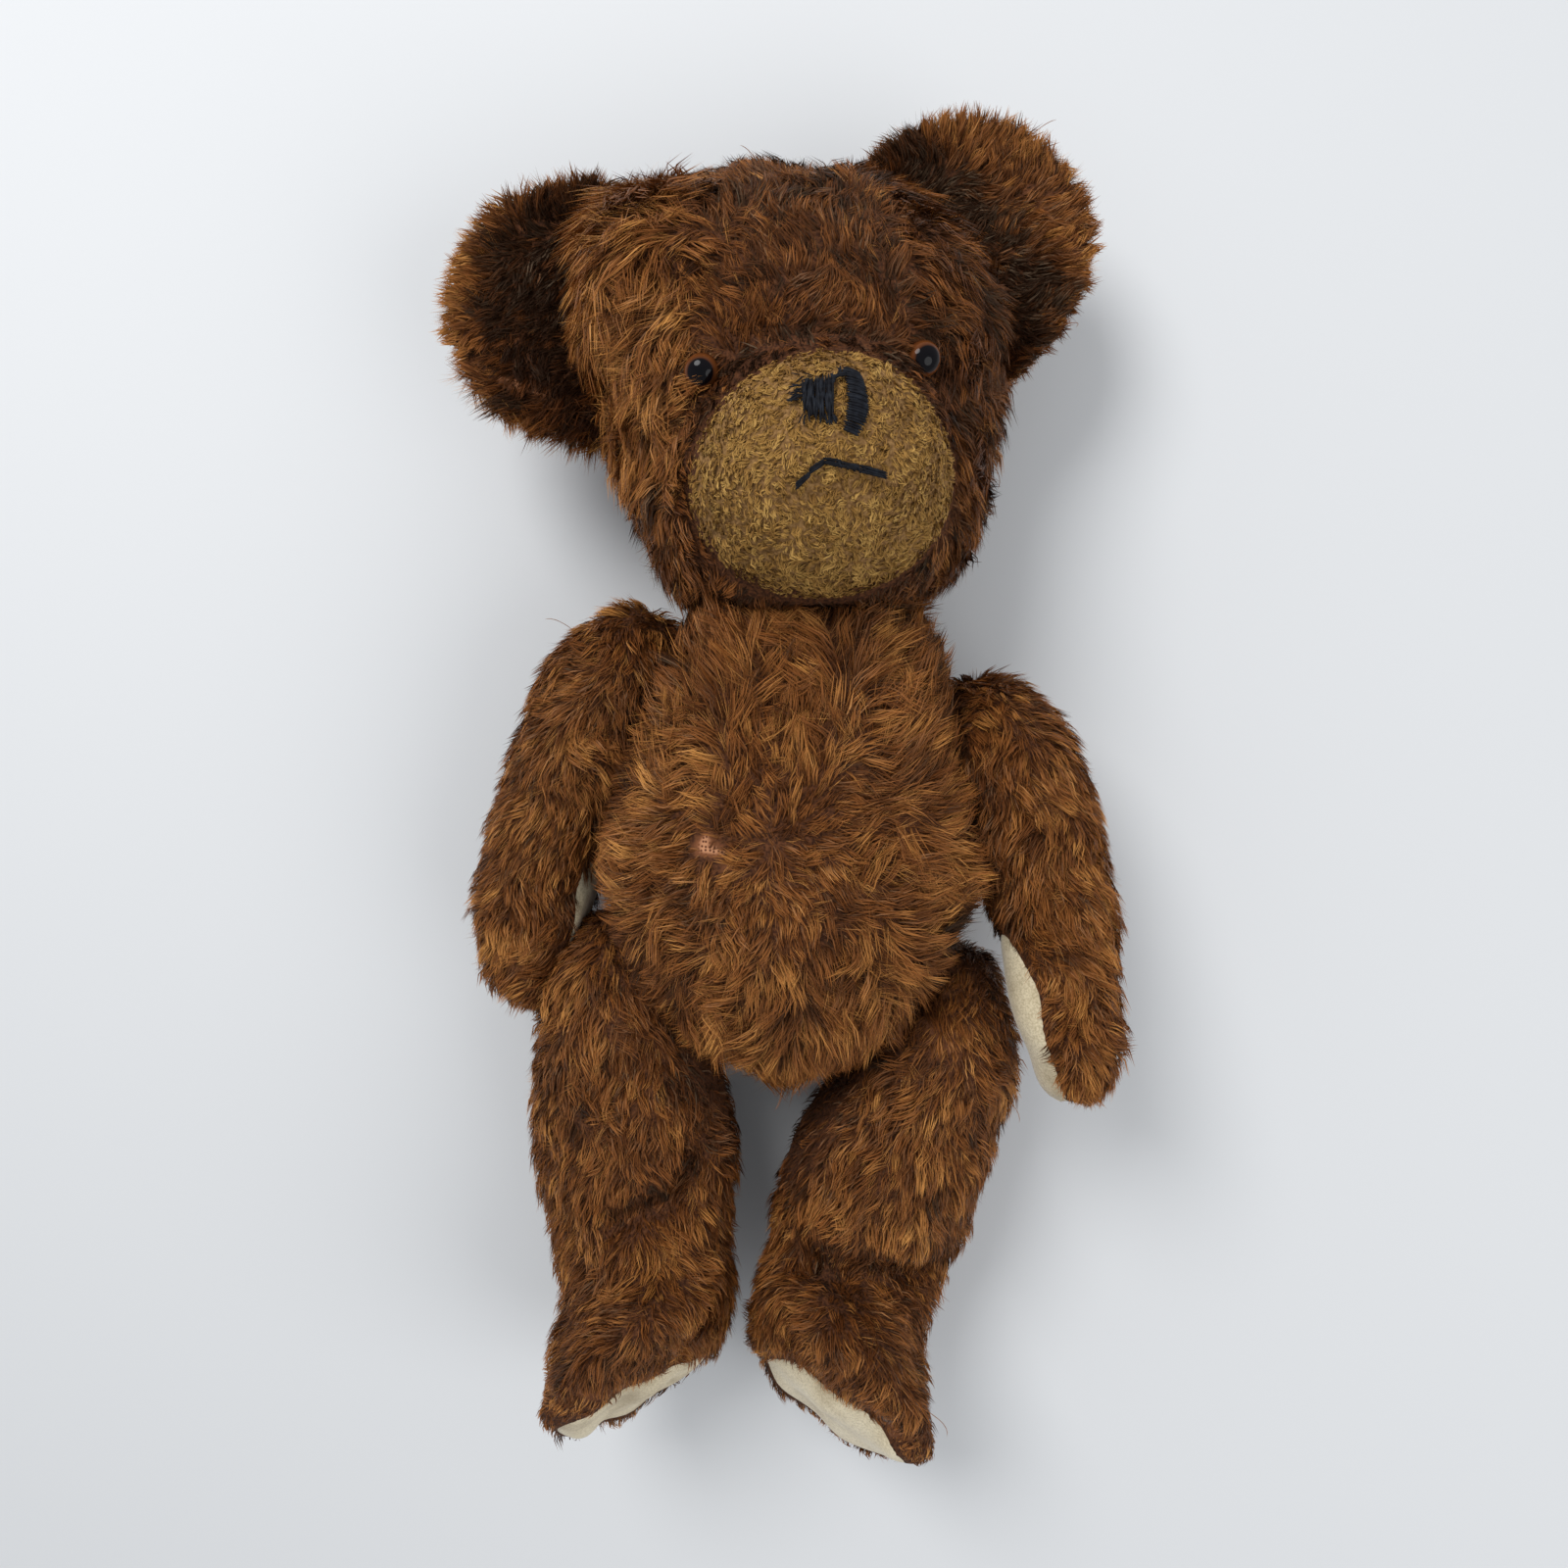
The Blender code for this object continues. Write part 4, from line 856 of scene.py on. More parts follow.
def seen_spot(tree, pixel):
    """The spot of a form that a pixel of the photograph shows."""
    hit = tree.ray_cast(Vector(CAMERA_PLACE), Vector(pixel_ray(*pixel)))[0]
    if hit is None:
        far = Vector(CAMERA_PLACE) + Vector(pixel_ray(*pixel)) * 0.43
        hit = tree.find_nearest(far)[0]
    return np.array(hit)


def laid(tree, start, inward, fallback):
    """The spot and normal where a ray meets a form, or else those nearest to the fallback."""
    hit, normal, _, _ = tree.ray_cast(Vector(start), Vector(inward))
    if hit is None:
        hit, normal, _, _ = tree.find_nearest(Vector(fallback))
    return np.array(hit), np.array(normal)


def line_distance(points, start, end):
    run = end - start
    share = np.clip((points - start) @ run / max(run @ run, 1e-12), 0.0, 1.0)
    return np.linalg.norm(points - start - share[:, None] * run, axis=1)


def seen_lines(form, rows):
    """Pixel lines of the photograph laid on a form, each with the rest of its row."""
    tree = form.tree()
    return [(seen_spot(tree, first), seen_spot(tree, last), *rest) for first, last, *rest in rows]


def worn_share(name, form):
    """A map that says how bare the cloth is."""
    places = seen_lines(form, WORN_PLACES.get(name, ()))

    def share(points):
        total = np.zeros(len(points))
        for first, last, radius, amount in places:
            away = line_distance(points, first, last)
            ragged = radius * (1 + 0.25 * waves(points, 0.005, 31))
            total = np.maximum(total, amount * (1 - smooth(0.7, 1.3, away / ragged)))
        return total

    return share


# How far along a limb the pile over a crease lies shaded.
FOLD_SHADE = 0.007


def crease_share(lines, points):
    total = np.zeros(len(points))
    for first, last, half_width, _ in lines:
        total = np.maximum(total, np.exp(-((line_distance(points, first, last) / half_width) ** 2)))
    return total


def press_creases(lines, form):
    depth = max((line[3] for line in lines), default=0.0)
    form.swell(-depth * crease_share(lines, form.verts))


def under_floor(normals):
    """Thinner pile where the bear lies on it."""
    return 1.0 - 0.7 * smooth(0.35, 0.85, -normals[:, 2])


def near_plane(points, plane_point, axis, reach):
    """One at a joint plane, falling to nought at reach metres from it."""
    return 1.0 - smooth(0.0, reach, np.abs((points - plane_point) @ axis))


def settle(item, body, material):
    item.data.materials.append(material)
    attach(item, body)


def dress(name, body, form, material, nodes, worn):
    """The cloth of a stuffed piece."""
    cloth = form_object(name, form)
    set_attribute(cloth, "worn", worn(form.verts))
    settle(cloth, body, material)
    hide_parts(*nodes)


# Fine straight hairs between the locks of a pile.
FUZZ_SHARE = 0.95
FUZZ_VARIETY = 0.12
FUZZ_LENGTH = 0.88
FUZZ = dict(steps=1, per_lock=4, width=0.00026, clump=0.30, lift=0.74, spread=0.30, stray=0.15)


def cover(name, body, form, pile, material):
    settle(grow(name, body, form, pile), body, material)


def cover_with_fuzz(name, body, form, pile, material):
    cover(f"{name}_pile", body, form, pile, material)
    settings = dict(pile.__dict__, **FUZZ)
    settings["count"] = int(pile.count * FUZZ_SHARE)
    settings["seed"] = pile.seed + 500
    settings["variety"] = pile.variety + FUZZ_VARIETY
    settings["length"] = lambda points, normals: FUZZ_LENGTH * pile.length(points, normals)
    cover(f"{name}_fuzz", body, form, Pile(**settings), material)


# The camera, the materials and the stuffed forms.
make_camera()
mohair = pile_material("mohair_pile", MOHAIR_ROOTS, MOHAIR_TIPS, 0.44, 0.30)
muzzle_pile = pile_material("muzzle_pile", MUZZLE_ROOTS, MUZZLE_TIPS, 0.6, 0.2)
backing = backing_material("mohair_backing", (0.110, 0.040, 0.015), (0.028, 0.010, 0.005))
muzzle_backing = backing_material("muzzle_backing", (0.300, 0.165, 0.060), (0.130, 0.065, 0.022))
felt = felt_material("worn_felt")
floss = floss_material("worn_floss")

FORMS = {"torso": make_torso_form(), "head": make_head_form()}
for side in ("right", "left"):
    FORMS[f"{side}_arm"] = make_arm_form(side)
    FORMS[f"{side}_leg"] = make_leg_form(side)

# Torso.
torso_form = FORMS["torso"]
torso_worn = worn_share("torso", torso_form)
BELLY_WHORL = np.array((-0.004, -0.004, 0.0))


def torso_flow(points, normals):
    away = points - BELLY_WHORL
    flow = np.stack([away[:, 0] * 1.1, away[:, 1] * 1.0, np.zeros(len(points))], axis=1)
    return flow + np.array((0.0, -0.006, -0.004))


def torso_length(points, normals):
    away = np.hypot(points[:, 0] - BELLY_WHORL[0], points[:, 1] - BELLY_WHORL[1])
    length = 0.0068 + 0.0060 * smooth(0.015, 0.06, away)
    joint = sum(near_plane(points, *plane, 0.006) for name, plane in TORSO_PLANES.items() if name != "head")
    length = length * (1 - 0.50 * np.clip(joint, 0, 1)) * under_floor(normals)
    return length * (1 - 0.85 * torso_worn(points))


def torso_density(points, normals):
    return (1 - 0.97 * torso_worn(points)) * (1 - 0.45 * smooth(0.3, 0.8, -normals[:, 2]))


def torso_tint(points, normals):
    chest = smooth(0.005, 0.045, points[:, 1]) * 0.03
    # Painted shade: the pile is darker near every joint plane, in the gaps to the head and the limbs.
    joint = sum(near_plane(points, *plane, 0.010) for plane in TORSO_PLANES.values())
    return 0.55 + 0.09 * waves(points, 0.030, 41) - chest - 0.34 * np.clip(joint, 0, 1)


dress("torso_cloth", "torso", torso_form, backing, ("torso_skin", "torso_stuffing"), torso_worn)
torso_pile = Pile(
    count=44000,
    per_lock=12,
    clump=0.60,
    swirl=0.70,
    flow=torso_flow,
    length=torso_length,
    density=torso_density,
    tint=torso_tint,
    seed=101,
)
cover_with_fuzz("torso", "torso", torso_form, torso_pile, mohair)

# Head.
head_form = FORMS["head"]
head_tree = head_form.tree()
head_worn = worn_share("head", head_form)


def head_flow(points, normals):
    side, up, front = head_local(points)
    down = smooth(0.30, 0.62, np.abs(side)) + smooth(0.2, -0.1, up)
    down = np.clip(np.maximum(down, front < -0.01), 0, 1)[:, None]
    rising = HEAD_UP * 0.8 + HEAD_RIGHT * (side * 0.9)[:, None] + HEAD_FORWARD * 0.2
    falling = -HEAD_UP + HEAD_RIGHT * (np.sign(side) * 0.22)[:, None]
    return rising * (1 - down) + falling * down


def head_length(points, normals):
    side, up, _ = head_local(points)
    far, ahead = muzzle_far(points)
    crown = np.exp(-(((side + 0.75) / 0.35) ** 2) - ((up - 0.60) / 0.30) ** 2)
    length = 0.0062 + 0.0055 * smooth(0.35, 0.75, np.abs(side)) + 0.003 * smooth(0.6, 0.9, up)
    length = length + 0.004 * crown
    length = length * (1 - 0.45 * np.where(ahead, 1 - smooth(1.0, 1.18, far), 0.0))
    return length * under_floor(normals) * (1 - 0.75 * head_worn(points))


def eye_places():
    places = []
    for side, up in EYE_SPOTS.values():
        start = head_point(side * HEAD_WIDTH, up * HEAD_HEIGHT, HEAD_DEPTH + MUZZLE_RISE)
        spot, normal = laid(head_tree, start, -HEAD_FORWARD, start)
        places.append((spot, unit(HEAD_FORWARD + normal - 0.45 * HEAD_UP)))
    return places


EYE_PLACES = eye_places()


def head_density(points, normals):
    far, ahead = muzzle_far(points)
    keep = np.where(ahead, smooth(0.985, 1.03, far), 1.0)
    for place, _ in EYE_PLACES:
        keep = keep * smooth(0.0042, 0.0058, np.linalg.norm(points - place, axis=1))
    return keep * (1 - 0.85 * head_worn(points)) * (1 - 0.5 * smooth(0.3, 0.8, -normals[:, 2]))


def head_tint(points, normals):
    side, up, _ = head_local(points)
    gold = smooth(-0.35, -0.62, side) * smooth(-0.6, 0.0, up)
    # Painted shade: darker in a band just outside the muzzle's upper seam, where the crease lies in shadow.
    dark = np.exp(-(((muzzle_far(points)[0] - 1.08) / 0.08) ** 2)) * (up > -0.2)
    low = smooth(0.1, -0.5, up) * 0.12
    # Painted shade: darker near the neck, under the head.
    neck_shade = near_plane(points, NECK_POINT, NECK_AXIS, 0.012)
    return 0.28 + 0.09 * waves(points, 0.024, 43) + 0.32 * gold - 0.27 * dark + low - 0.25 * neck_shade


dress("head_cloth", "head", head_form, backing, ("head_skin", "head_stuffing"), head_worn)
head_pile = Pile(
    count=44000,
    swirl=0.85,
    flow=head_flow,
    length=head_length,
    density=head_density,
    tint=head_tint,
    seed=102,
)
cover_with_fuzz("head", "head", head_form, head_pile, mohair)


# Muzzle.
def surface_spot(side, up):
    """The spot and normal on the head's front, with side and up in metres from its middle."""
    start = head_point(side, up, HEAD_DEPTH + MUZZLE_RISE)
    return laid(head_tree, start, -HEAD_FORWARD, head_point(side, up, 0.0))


class Patch(Form):
    """A round patch laid on a form, given as rings between a middle and a rim."""

    def __init__(self, middle, rings, around, spot, lift, rim):
        verts = [spot(*middle)[0] + spot(*middle)[1] * lift]
        for i in range(1, rings + 1):
            r = i / rings
            for k in range(around):
                t = 2 * math.pi * k / around
                hit, normal = spot(*rim(r, t))
                tuck = 1.0 - r**10 * 2.2
                verts.append(hit + normal * (lift * tuck))
        self.verts = np.array(verts)
        self.caps = fan(0, 1, around)
        self.quads = ring_quads(rings, around, 1)[:, [0, 3, 2, 1]]
        self.finish()
        if self.normals[0] @ spot(*middle)[1] < 0:
            self.turn_over()
            self.finish()


def muzzle_rim(r, t):
    side = MUZZLE_CENTRE[0] * HEAD_WIDTH + r * MUZZLE_WIDTH / 2 * math.cos(t)
    rise = math.sin(t) if math.sin(t) > 0 else MUZZLE_CHIN * math.sin(t)
    up = MUZZLE_CENTRE[1] * HEAD_HEIGHT + r * MUZZLE_HEIGHT / 2 * rise
    return side, up


muzzle_middle = (MUZZLE_CENTRE[0] * HEAD_WIDTH, MUZZLE_CENTRE[1] * HEAD_HEIGHT)
muzzle_form = Patch(muzzle_middle, 36, 84, surface_spot, 0.0011, muzzle_rim)
muzzle_worn = worn_share("muzzle", muzzle_form)
dress("muzzle_cloth", "head", muzzle_form, muzzle_backing, ("muzzle_panel",), muzzle_worn)


def muzzle_flow(points, normals):
    sway = 0.5 * waves(points, 0.012, 51)
    return -HEAD_UP * 0.9 + HEAD_RIGHT * sway[:, None]


def muzzle_length(points, normals):
    far, _ = muzzle_far(points)
    return 0.0028 * (1 - 0.45 * smooth(0.88, 1.0, far))


def muzzle_density(points, normals):
    return np.ones(len(points))


def muzzle_tint(points, normals):
    far, _ = muzzle_far(points)
    return 0.55 + 0.12 * waves(points, 0.009, 52) - 0.20 * smooth(0.82, 1.0, far)


muzzle_curls = Pile(
    count=17000,
    steps=3,
    per_lock=6,
    width=0.00042,
    lift=0.55,
    curl=0.30,
    clump=0.72,
    swirl=1.0,
    spread=0.6,
    variety=0.11,
    flow=muzzle_flow,
    length=muzzle_length,
    density=muzzle_density,
    tint=muzzle_tint,
    seed=103,
)
cover("muzzle_curls", "head", muzzle_form, muzzle_curls, muzzle_pile)


# Ears.
# Each ear's 'dark' is the share of its rise out to which the cup gets painted shade, fading over the next
# 0.28.
EARS = {
    "right": {
        "base": head_point(-0.475 * HEAD_WIDTH, 0.240 * HEAD_HEIGHT, -0.10 * HEAD_DEPTH),
        "along": unit(HEAD_UP * 0.90 + HEAD_RIGHT * 0.30),
        "out": unit(-HEAD_RIGHT * 0.96 + HEAD_UP * 0.28),
        "cup": 0.012,
        "dark": 0.66,
        "gold": 0.20,
    },
    "left": {
        "base": head_point(0.375 * HEAD_WIDTH, 0.285 * HEAD_HEIGHT, -0.03 * HEAD_DEPTH),
        "along": unit(HEAD_UP * 0.72 - HEAD_RIGHT * 0.70),
        "out": unit(HEAD_RIGHT * 0.74 + HEAD_UP * 0.67),
        "cup": 0.010,
        "dark": 0.36,
        "gold": 0.06,
    },
}


class EarForm(Form):
    """A cupped half-round ear whose root is inside the head."""

    def __init__(self, base, along, out, cup, steps=36, around=44):
        place = -np.cos(math.pi * np.arange(1, steps) / steps)[:, None]
        height = EAR_RISE * np.sqrt(1 - 0.96 * place**2) ** 0.85
        middle = (height - EAR_ROOT) / 2
        half = (height + EAR_ROOT) / 2
        t = 2 * math.pi * np.arange(around) / around
        up = middle + half * np.cos(t)
        thick = EAR_THICKNESS / 2 * np.sin(t) * np.where(np.sin(t) > 0, 0.9, 1.1)
        bend = cup * (place**2 - 0.35) + 0.35 * cup * (up / EAR_RISE) ** 2
        rings = (
            base
            + (place * np.ones_like(up) * EAR_SPAN / 2)[..., None] * along
            + up[..., None] * out
            + (thick + bend)[..., None] * HEAD_FORWARD
        )
        first = rings[0].mean(axis=0) - along * 0.001
        last = rings[-1].mean(axis=0) + along * 0.001
        self.verts = np.concatenate([[first], rings.reshape(-1, 3), [last]])
        self.close(steps - 1, around)
        self.finish()
        front = self.normals @ HEAD_FORWARD
        if np.mean(front[1:-1][np.tile(np.sin(t), steps - 1) > 0.3]) < 0:
            self.turn_over()
            self.finish()


def make_ear(side, seed):
    ear = EARS[side]
    form = EarForm(ear["base"], ear["along"], ear["out"], ear["cup"])
    worn = worn_share(f"{side}_ear", form)
    dress(f"{side}_ear_cloth", "head", form, backing, (f"{side}_ear",), worn)
    down = -HEAD_UP if side == "right" else HEAD_RIGHT * 0.3 - HEAD_UP * 0.2

    def reach(points):
        away = points - ear["base"]
        return away @ ear["out"] / EAR_RISE, away @ ear["along"] / (EAR_SPAN / 2)

    def flow(points, normals):
        out, along = reach(points)
        radial = ear["out"] * np.maximum(out, 0.1)[:, None] + ear["along"] * along[:, None]
        inner = (normals @ HEAD_FORWARD > 0.3) * (1 - smooth(0.55, 0.85, np.hypot(out, along)))
        return radial + down * (0.25 + 0.9 * inner)[:, None]

    def length(points, normals):
        out, along = reach(points)
        rim = smooth(0.5, 0.95, np.hypot(out, along))
        low = smooth(-0.45, -0.85, along) if side == "right" else 0.0
        return (0.0062 + 0.0012 * rim + 0.0050 * low) * (1 - 0.6 * worn(points))

    def density(points, normals):
        return np.where(inside(head_tree, points), 0.0, 1.0) * (1 - 0.7 * worn(points))

    def tint(points, normals):
        out, along = reach(points)
        rim = smooth(0.55, 1.0, np.hypot(out, along))
        # Painted shade: the front of the cup is darker near the root, where the ear's hollow lies in
        # shadow.
        inner = (normals @ HEAD_FORWARD > 0.2) * (1 - smooth(ear["dark"], ear["dark"] + 0.28, out))
        gold = ear["gold"] * smooth(0.72, 1.0, np.hypot(out, along)) * (out > 0.2)
        return 0.40 + 0.12 * rim + gold - 0.46 * inner + 0.05 * waves(points, 0.02, seed)

    pile = Pile(count=13000, flow=flow, length=length, density=density, tint=tint, seed=seed)
    cover_with_fuzz(f"{side}_ear", "head", form, pile, mohair)
    return form


EAR_FORMS = {"right": make_ear("right", 104), "left": make_ear("left", 105)}


# Limbs.
def paw_spot(form):
    """The middle of the paw's pad, its outward direction and its long direction."""
    centre = form.origin + form.w * (0.65 * ARM_LENGTH) - form.u * (0.50 * ARM_WIDTH)
    centre = centre + form.v * (0.12 * ARM_DEPTH)
    return centre, -form.u, form.w, 0.30 * ARM_DEPTH, 0.23 * ARM_LENGTH


def foot_spot(form, side):
    """The middle of the sole, its outward direction and its long direction."""
    turn = FOOT_TURN[side]
    heel_to_toe = form.v * math.cos(turn) + form.u * math.sin(turn)
    across = unit(np.cross(heel_to_toe, form.w))
    inward = across if across @ form.u < 0 else -across
    down = unit(form.w + inward * SOLE_TILT + heel_to_toe * SOLE_LIFT)
    centre = form.origin + form.w * (0.872 * LEG_LENGTH) + heel_to_toe * (0.314 * FOOT_LENGTH)
    return centre, down, heel_to_toe, 0.37 * LEG_WIDTH, 0.415 * FOOT_LENGTH


PAD_REACH = 0.03


def make_pad(name, body, form, node, placed):
    """A felt pad sewn flush into a limb."""
    centre, out, long_way, half_width, half_length = placed
    long_way = unit(long_way - out * (long_way @ out))
    cross_way = np.cross(long_way, out)
    tree = form.tree()

    def spot(a, b):
        start = centre + cross_way * a + long_way * b + out * PAD_REACH
        return laid(tree, start, -out, start - out * PAD_REACH)

    def rim(r, t):
        return r * half_width * math.cos(t), r * half_length * math.sin(t)

    pad = form_object(name, Patch((0.0, 0.0), 16, 56, spot, 0.0008, rim))
    settle(pad, body, felt)
    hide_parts(node)

    def share(points, normals):
        away = points - centre
        far = np.hypot(away @ cross_way / half_width, away @ long_way / half_length)
        return far, normals @ out > 0.15, away @ long_way / half_length

    return share


LIMB_PILE = {"arm": 0.0085, "leg": 0.0080}


def make_limb(side, kind, seed, count):
    body = f"{side}_{kind}"
    form = FORMS[body]
    creases = seen_lines(form, CREASES.get(body, ()))
    press_creases(creases, form)
    worn = worn_share(body, form)
    plane = TORSO_PLANES[body]
    reach = ARM_LENGTH if kind == "arm" else LEG_LENGTH
    base = LIMB_PILE[kind]
    trim = 0.0 if body == "right_arm" else 0.35
    trim_beneath = 0.0 if body == "right_arm" else 0.80
    nodes = (f"{body}_skin", f"{body}_stuffing")
    dress(f"{body}_cloth", body, form, backing, nodes, worn)
    if kind == "arm":
        pad_share = make_pad(f"{side}_paw_felt", body, form, f"{side}_paw_pad", paw_spot(form))
    else:
        pad_share = make_pad(f"{side}_foot_felt", body, form, f"{side}_foot_pad", foot_spot(form, side))

    def flow(points, normals):
        lateral = (points - form.origin) @ form.u
        return form.w * 0.9 + form.u * (lateral * 8.0)[:, None] + form.v * 0.1

    def length(points, normals):
        joint = near_plane(points, *plane, 0.005)
        far, facing, ahead = pad_share(points, normals)
        near_pad = 1 - smooth(1.0, 1.5, far)
        beneath = smooth(0.25, -0.15, normals[:, 2])
        shaded = trim_beneath * beneath
        trimmed = 1 - near_pad * np.where(facing, trim + 0.55 * shaded, shaded)
        toe = smooth(0.55, 1.0, ahead) * smooth(0.62, 0.75, (points - form.origin) @ form.w / reach)
        trimmed = trimmed * (1 - 0.55 * toe)
        over_fold = crease_share(creases, points + form.w * FOLD_SHADE)
        bare = (1 - 0.7 * worn(points)) * (1 - 0.65 * np.maximum(over_fold, crease_share(creases, points)))
        return base * (1 - 0.35 * joint) * under_floor(normals) * bare * trimmed

    def density(points, normals):
        far, facing, _ = pad_share(points, normals)
        on_pad = facing * (far < 1.0)
        inner = smooth(0.75, 0.95, -(normals @ plane[1])) * near_plane(points, *plane, 0.003)
        fold = 1 - 0.75 * crease_share(creases, points) ** 2
        return (1 - on_pad) * (1 - 0.9 * worn(points)) * (1 - 0.8 * inner) * fold

    def tint(points, normals):
        # Painted shade: the pile is darker near the joint plane, in the creases, and just past them along
        # the limb, where the pile over a crease lies in shadow.
        joint = near_plane(points, *plane, 0.010)
        over_fold = crease_share(creases, points + form.w * FOLD_SHADE)
        fold = np.maximum(crease_share(creases, points), 0.6 * over_fold)
        return 0.51 + 0.08 * waves(points, 0.03, seed + 1) - 0.64 * fold - 0.32 * joint

    pile = Pile(count=count, flow=flow, length=length, density=density, tint=tint, seed=seed)
    cover_with_fuzz(body, body, form, pile, mohair)


make_limb("right", "arm", 106, 17000)
make_limb("left", "arm", 107, 17000)
make_limb("right", "leg", 108, 26000)
make_limb("left", "leg", 109, 26000)


# Eyes.
def eye_material(name):
    """Brown glass with a black pupil, by the bake map's height from rim to middle."""
    material, tree, shader = new_material(name, 0.05, 0.12)
    stops = [
        (0.0, (0.060, 0.018, 0.005)),
        (0.30, (0.055, 0.015, 0.004)),
        (0.52, (0.125, 0.038, 0.010)),
        (0.60, (0.085, 0.026, 0.008)),
        (0.66, (0.003, 0.002, 0.003)),
        (1.0, (0.001, 0.001, 0.002)),
    ]
    paint(tree, shader, ramp(tree, bake_coords(tree)[1], stops))
    shader.inputs["Coat Weight"].default_value = 0.06
    shader.inputs["Coat Roughness"].default_value = 0.12
    return material


# Degrees from under the rim to just short of the middle of the dome, and shares of the radius.
EYE_RIM = -35.0
EYE_DOME = 89.5
EYE_BULGE = 0.80
EYE_SEAT = 0.35


def make_eye(name, node, place, facing, material):
    radius = EYE_DIAMETER / 2
    u = unit(np.cross(HEAD_UP, facing))
    v = np.cross(facing, u)
    around = 48
    rings = 20
    verts = []
    uv_point = []
    for i in range(rings + 1):
        angle = math.radians(EYE_RIM + (EYE_DOME - EYE_RIM) * i / rings)
        height = radius * EYE_BULGE * (math.sin(angle) + EYE_SEAT)
        wide = radius * math.cos(angle)
        for k in range(around):
            t = 2 * math.pi * k / around
            verts.append(place + facing * height + u * (wide * math.cos(t)) + v * (wide * math.sin(t)))
            uv_point.append((k / around, i / rings))
    verts.append(place + facing * (radius * EYE_BULGE * (1 + EYE_SEAT)))
    uv_point.append((0.5, 1.0))
    verts.append(place - facing * (radius * 0.2))
    uv_point.append((0.5, 0.0))
    quads = ring_quads(rings + 1, around)
    tip = len(verts) - 2
    dome = fan(tip, rings * around, around)[:, [1, 2, 0]]
    back = fan(tip + 1, 0, around)[:, [2, 1, 0]]
    eye = mesh_object(name, np.array(verts), [quads, dome, back])
    loops = np.concatenate([quads.ravel(), dome.ravel(), back.ravel()])
    set_bake_uv(eye, np.array(uv_point)[loops])
    settle(eye, "head", material)
    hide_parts(node)


glass = eye_material("brown_glass")
for (side, _), (place, facing) in zip(EYE_SPOTS.items(), EYE_PLACES):
    make_eye(f"{side}_glass_eye", f"{side}_eye", place, facing, glass)


# Nose and mouth.
THREAD_SIDES = 7
THREAD_STEPS = 9
THREAD_SWAY = 0.00005


def tube(path, radius, points):
    """Vertices and quads of a thread along a path, with its ends drawn to a point."""
    path = np.array(path)
    tangent = normalised(np.gradient(path, axis=0))
    side = normalised(np.cross(tangent, HEAD_FORWARD))
    over = np.cross(side, tangent)
    share = np.linspace(0, 1, len(path))
    girth = radius * np.minimum(1.0, 6 * np.minimum(share, 1 - share) + 0.15)
    t = 2 * math.pi * np.arange(points) / points
    ring = side[:, None] * np.cos(t)[None, :, None] + over[:, None] * np.sin(t)[None, :, None]
    verts = (path[:, None] + ring * girth[:, None, None]).reshape(-1, 3)
    return verts, ring_quads(len(path), points)[:, [0, 3, 2, 1]]


def joined_tubes(threads, points):
    """Vertices and quads of many threads, each given by its path and radius."""
    all_verts = []
    all_quads = []
    first = 0
    for path, radius in threads:
        verts, quads = tube(path, radius, points)
        all_verts.append(verts)
        all_quads.append(quads + first)
        first += len(verts)
    return np.concatenate(all_verts), np.concatenate(all_quads)


muzzle_tree = muzzle_form.tree()


def on_muzzle(side, up, lift):
    start = head_point(side, up, HEAD_DEPTH + MUZZLE_RISE)
    spot, normal = laid(muzzle_tree, start, -HEAD_FORWARD, start)
    return spot + normal * lift


def pixel_on_muzzle(px, py):
    """Side and up in metres of the muzzle spot that a pixel of the photograph shows."""
    hit = muzzle_tree.ray_cast(Vector(CAMERA_PLACE), Vector(pixel_ray(px, py)))[0]
    away = np.array(hit) - HEAD_MIDDLE
    return away @ HEAD_RIGHT, away @ HEAD_UP


def stitch(name, node, lines, radius, lift, seed):
    """Stitches given as pixel lines of the photograph, laid on the muzzle."""
    rng = np.random.default_rng(seed)
    threads = []
    for start, end, share in lines:
        a = np.array(pixel_on_muzzle(*start))
        b = np.array(pixel_on_muzzle(*end))
        path = []
        for k in range(THREAD_STEPS):
            s = k / (THREAD_STEPS - 1)
            rise = lift + radius * share * (0.5 + 1.2 * math.sin(math.pi * s))
            path.append(on_muzzle(*(a + (b - a) * s), rise + rng.normal(0, THREAD_SWAY)))
        threads.append((path, radius * share))
    verts, quads = joined_tubes(threads, THREAD_SIDES)
    item = mesh_object(name, verts, [quads])
    settle(item, "head", floss)
    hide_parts(node)


# Pixel edges of the nose: two worn blocks on either side of a slit that closes at its top and its foot.
NOSE_LEFT_X = (821, 849)
NOSE_LEFT_Y = (386, 433)
NOSE_RIGHT_X = (858, 886)
NOSE_RIGHT_Y = (384, 443)
NOSE_TOP = ((848, 388), (866, 384))
NOSE_FRAY = (815, 834)
NOSE_TUFT = (856, 384)
NOSE_STITCHES = 19


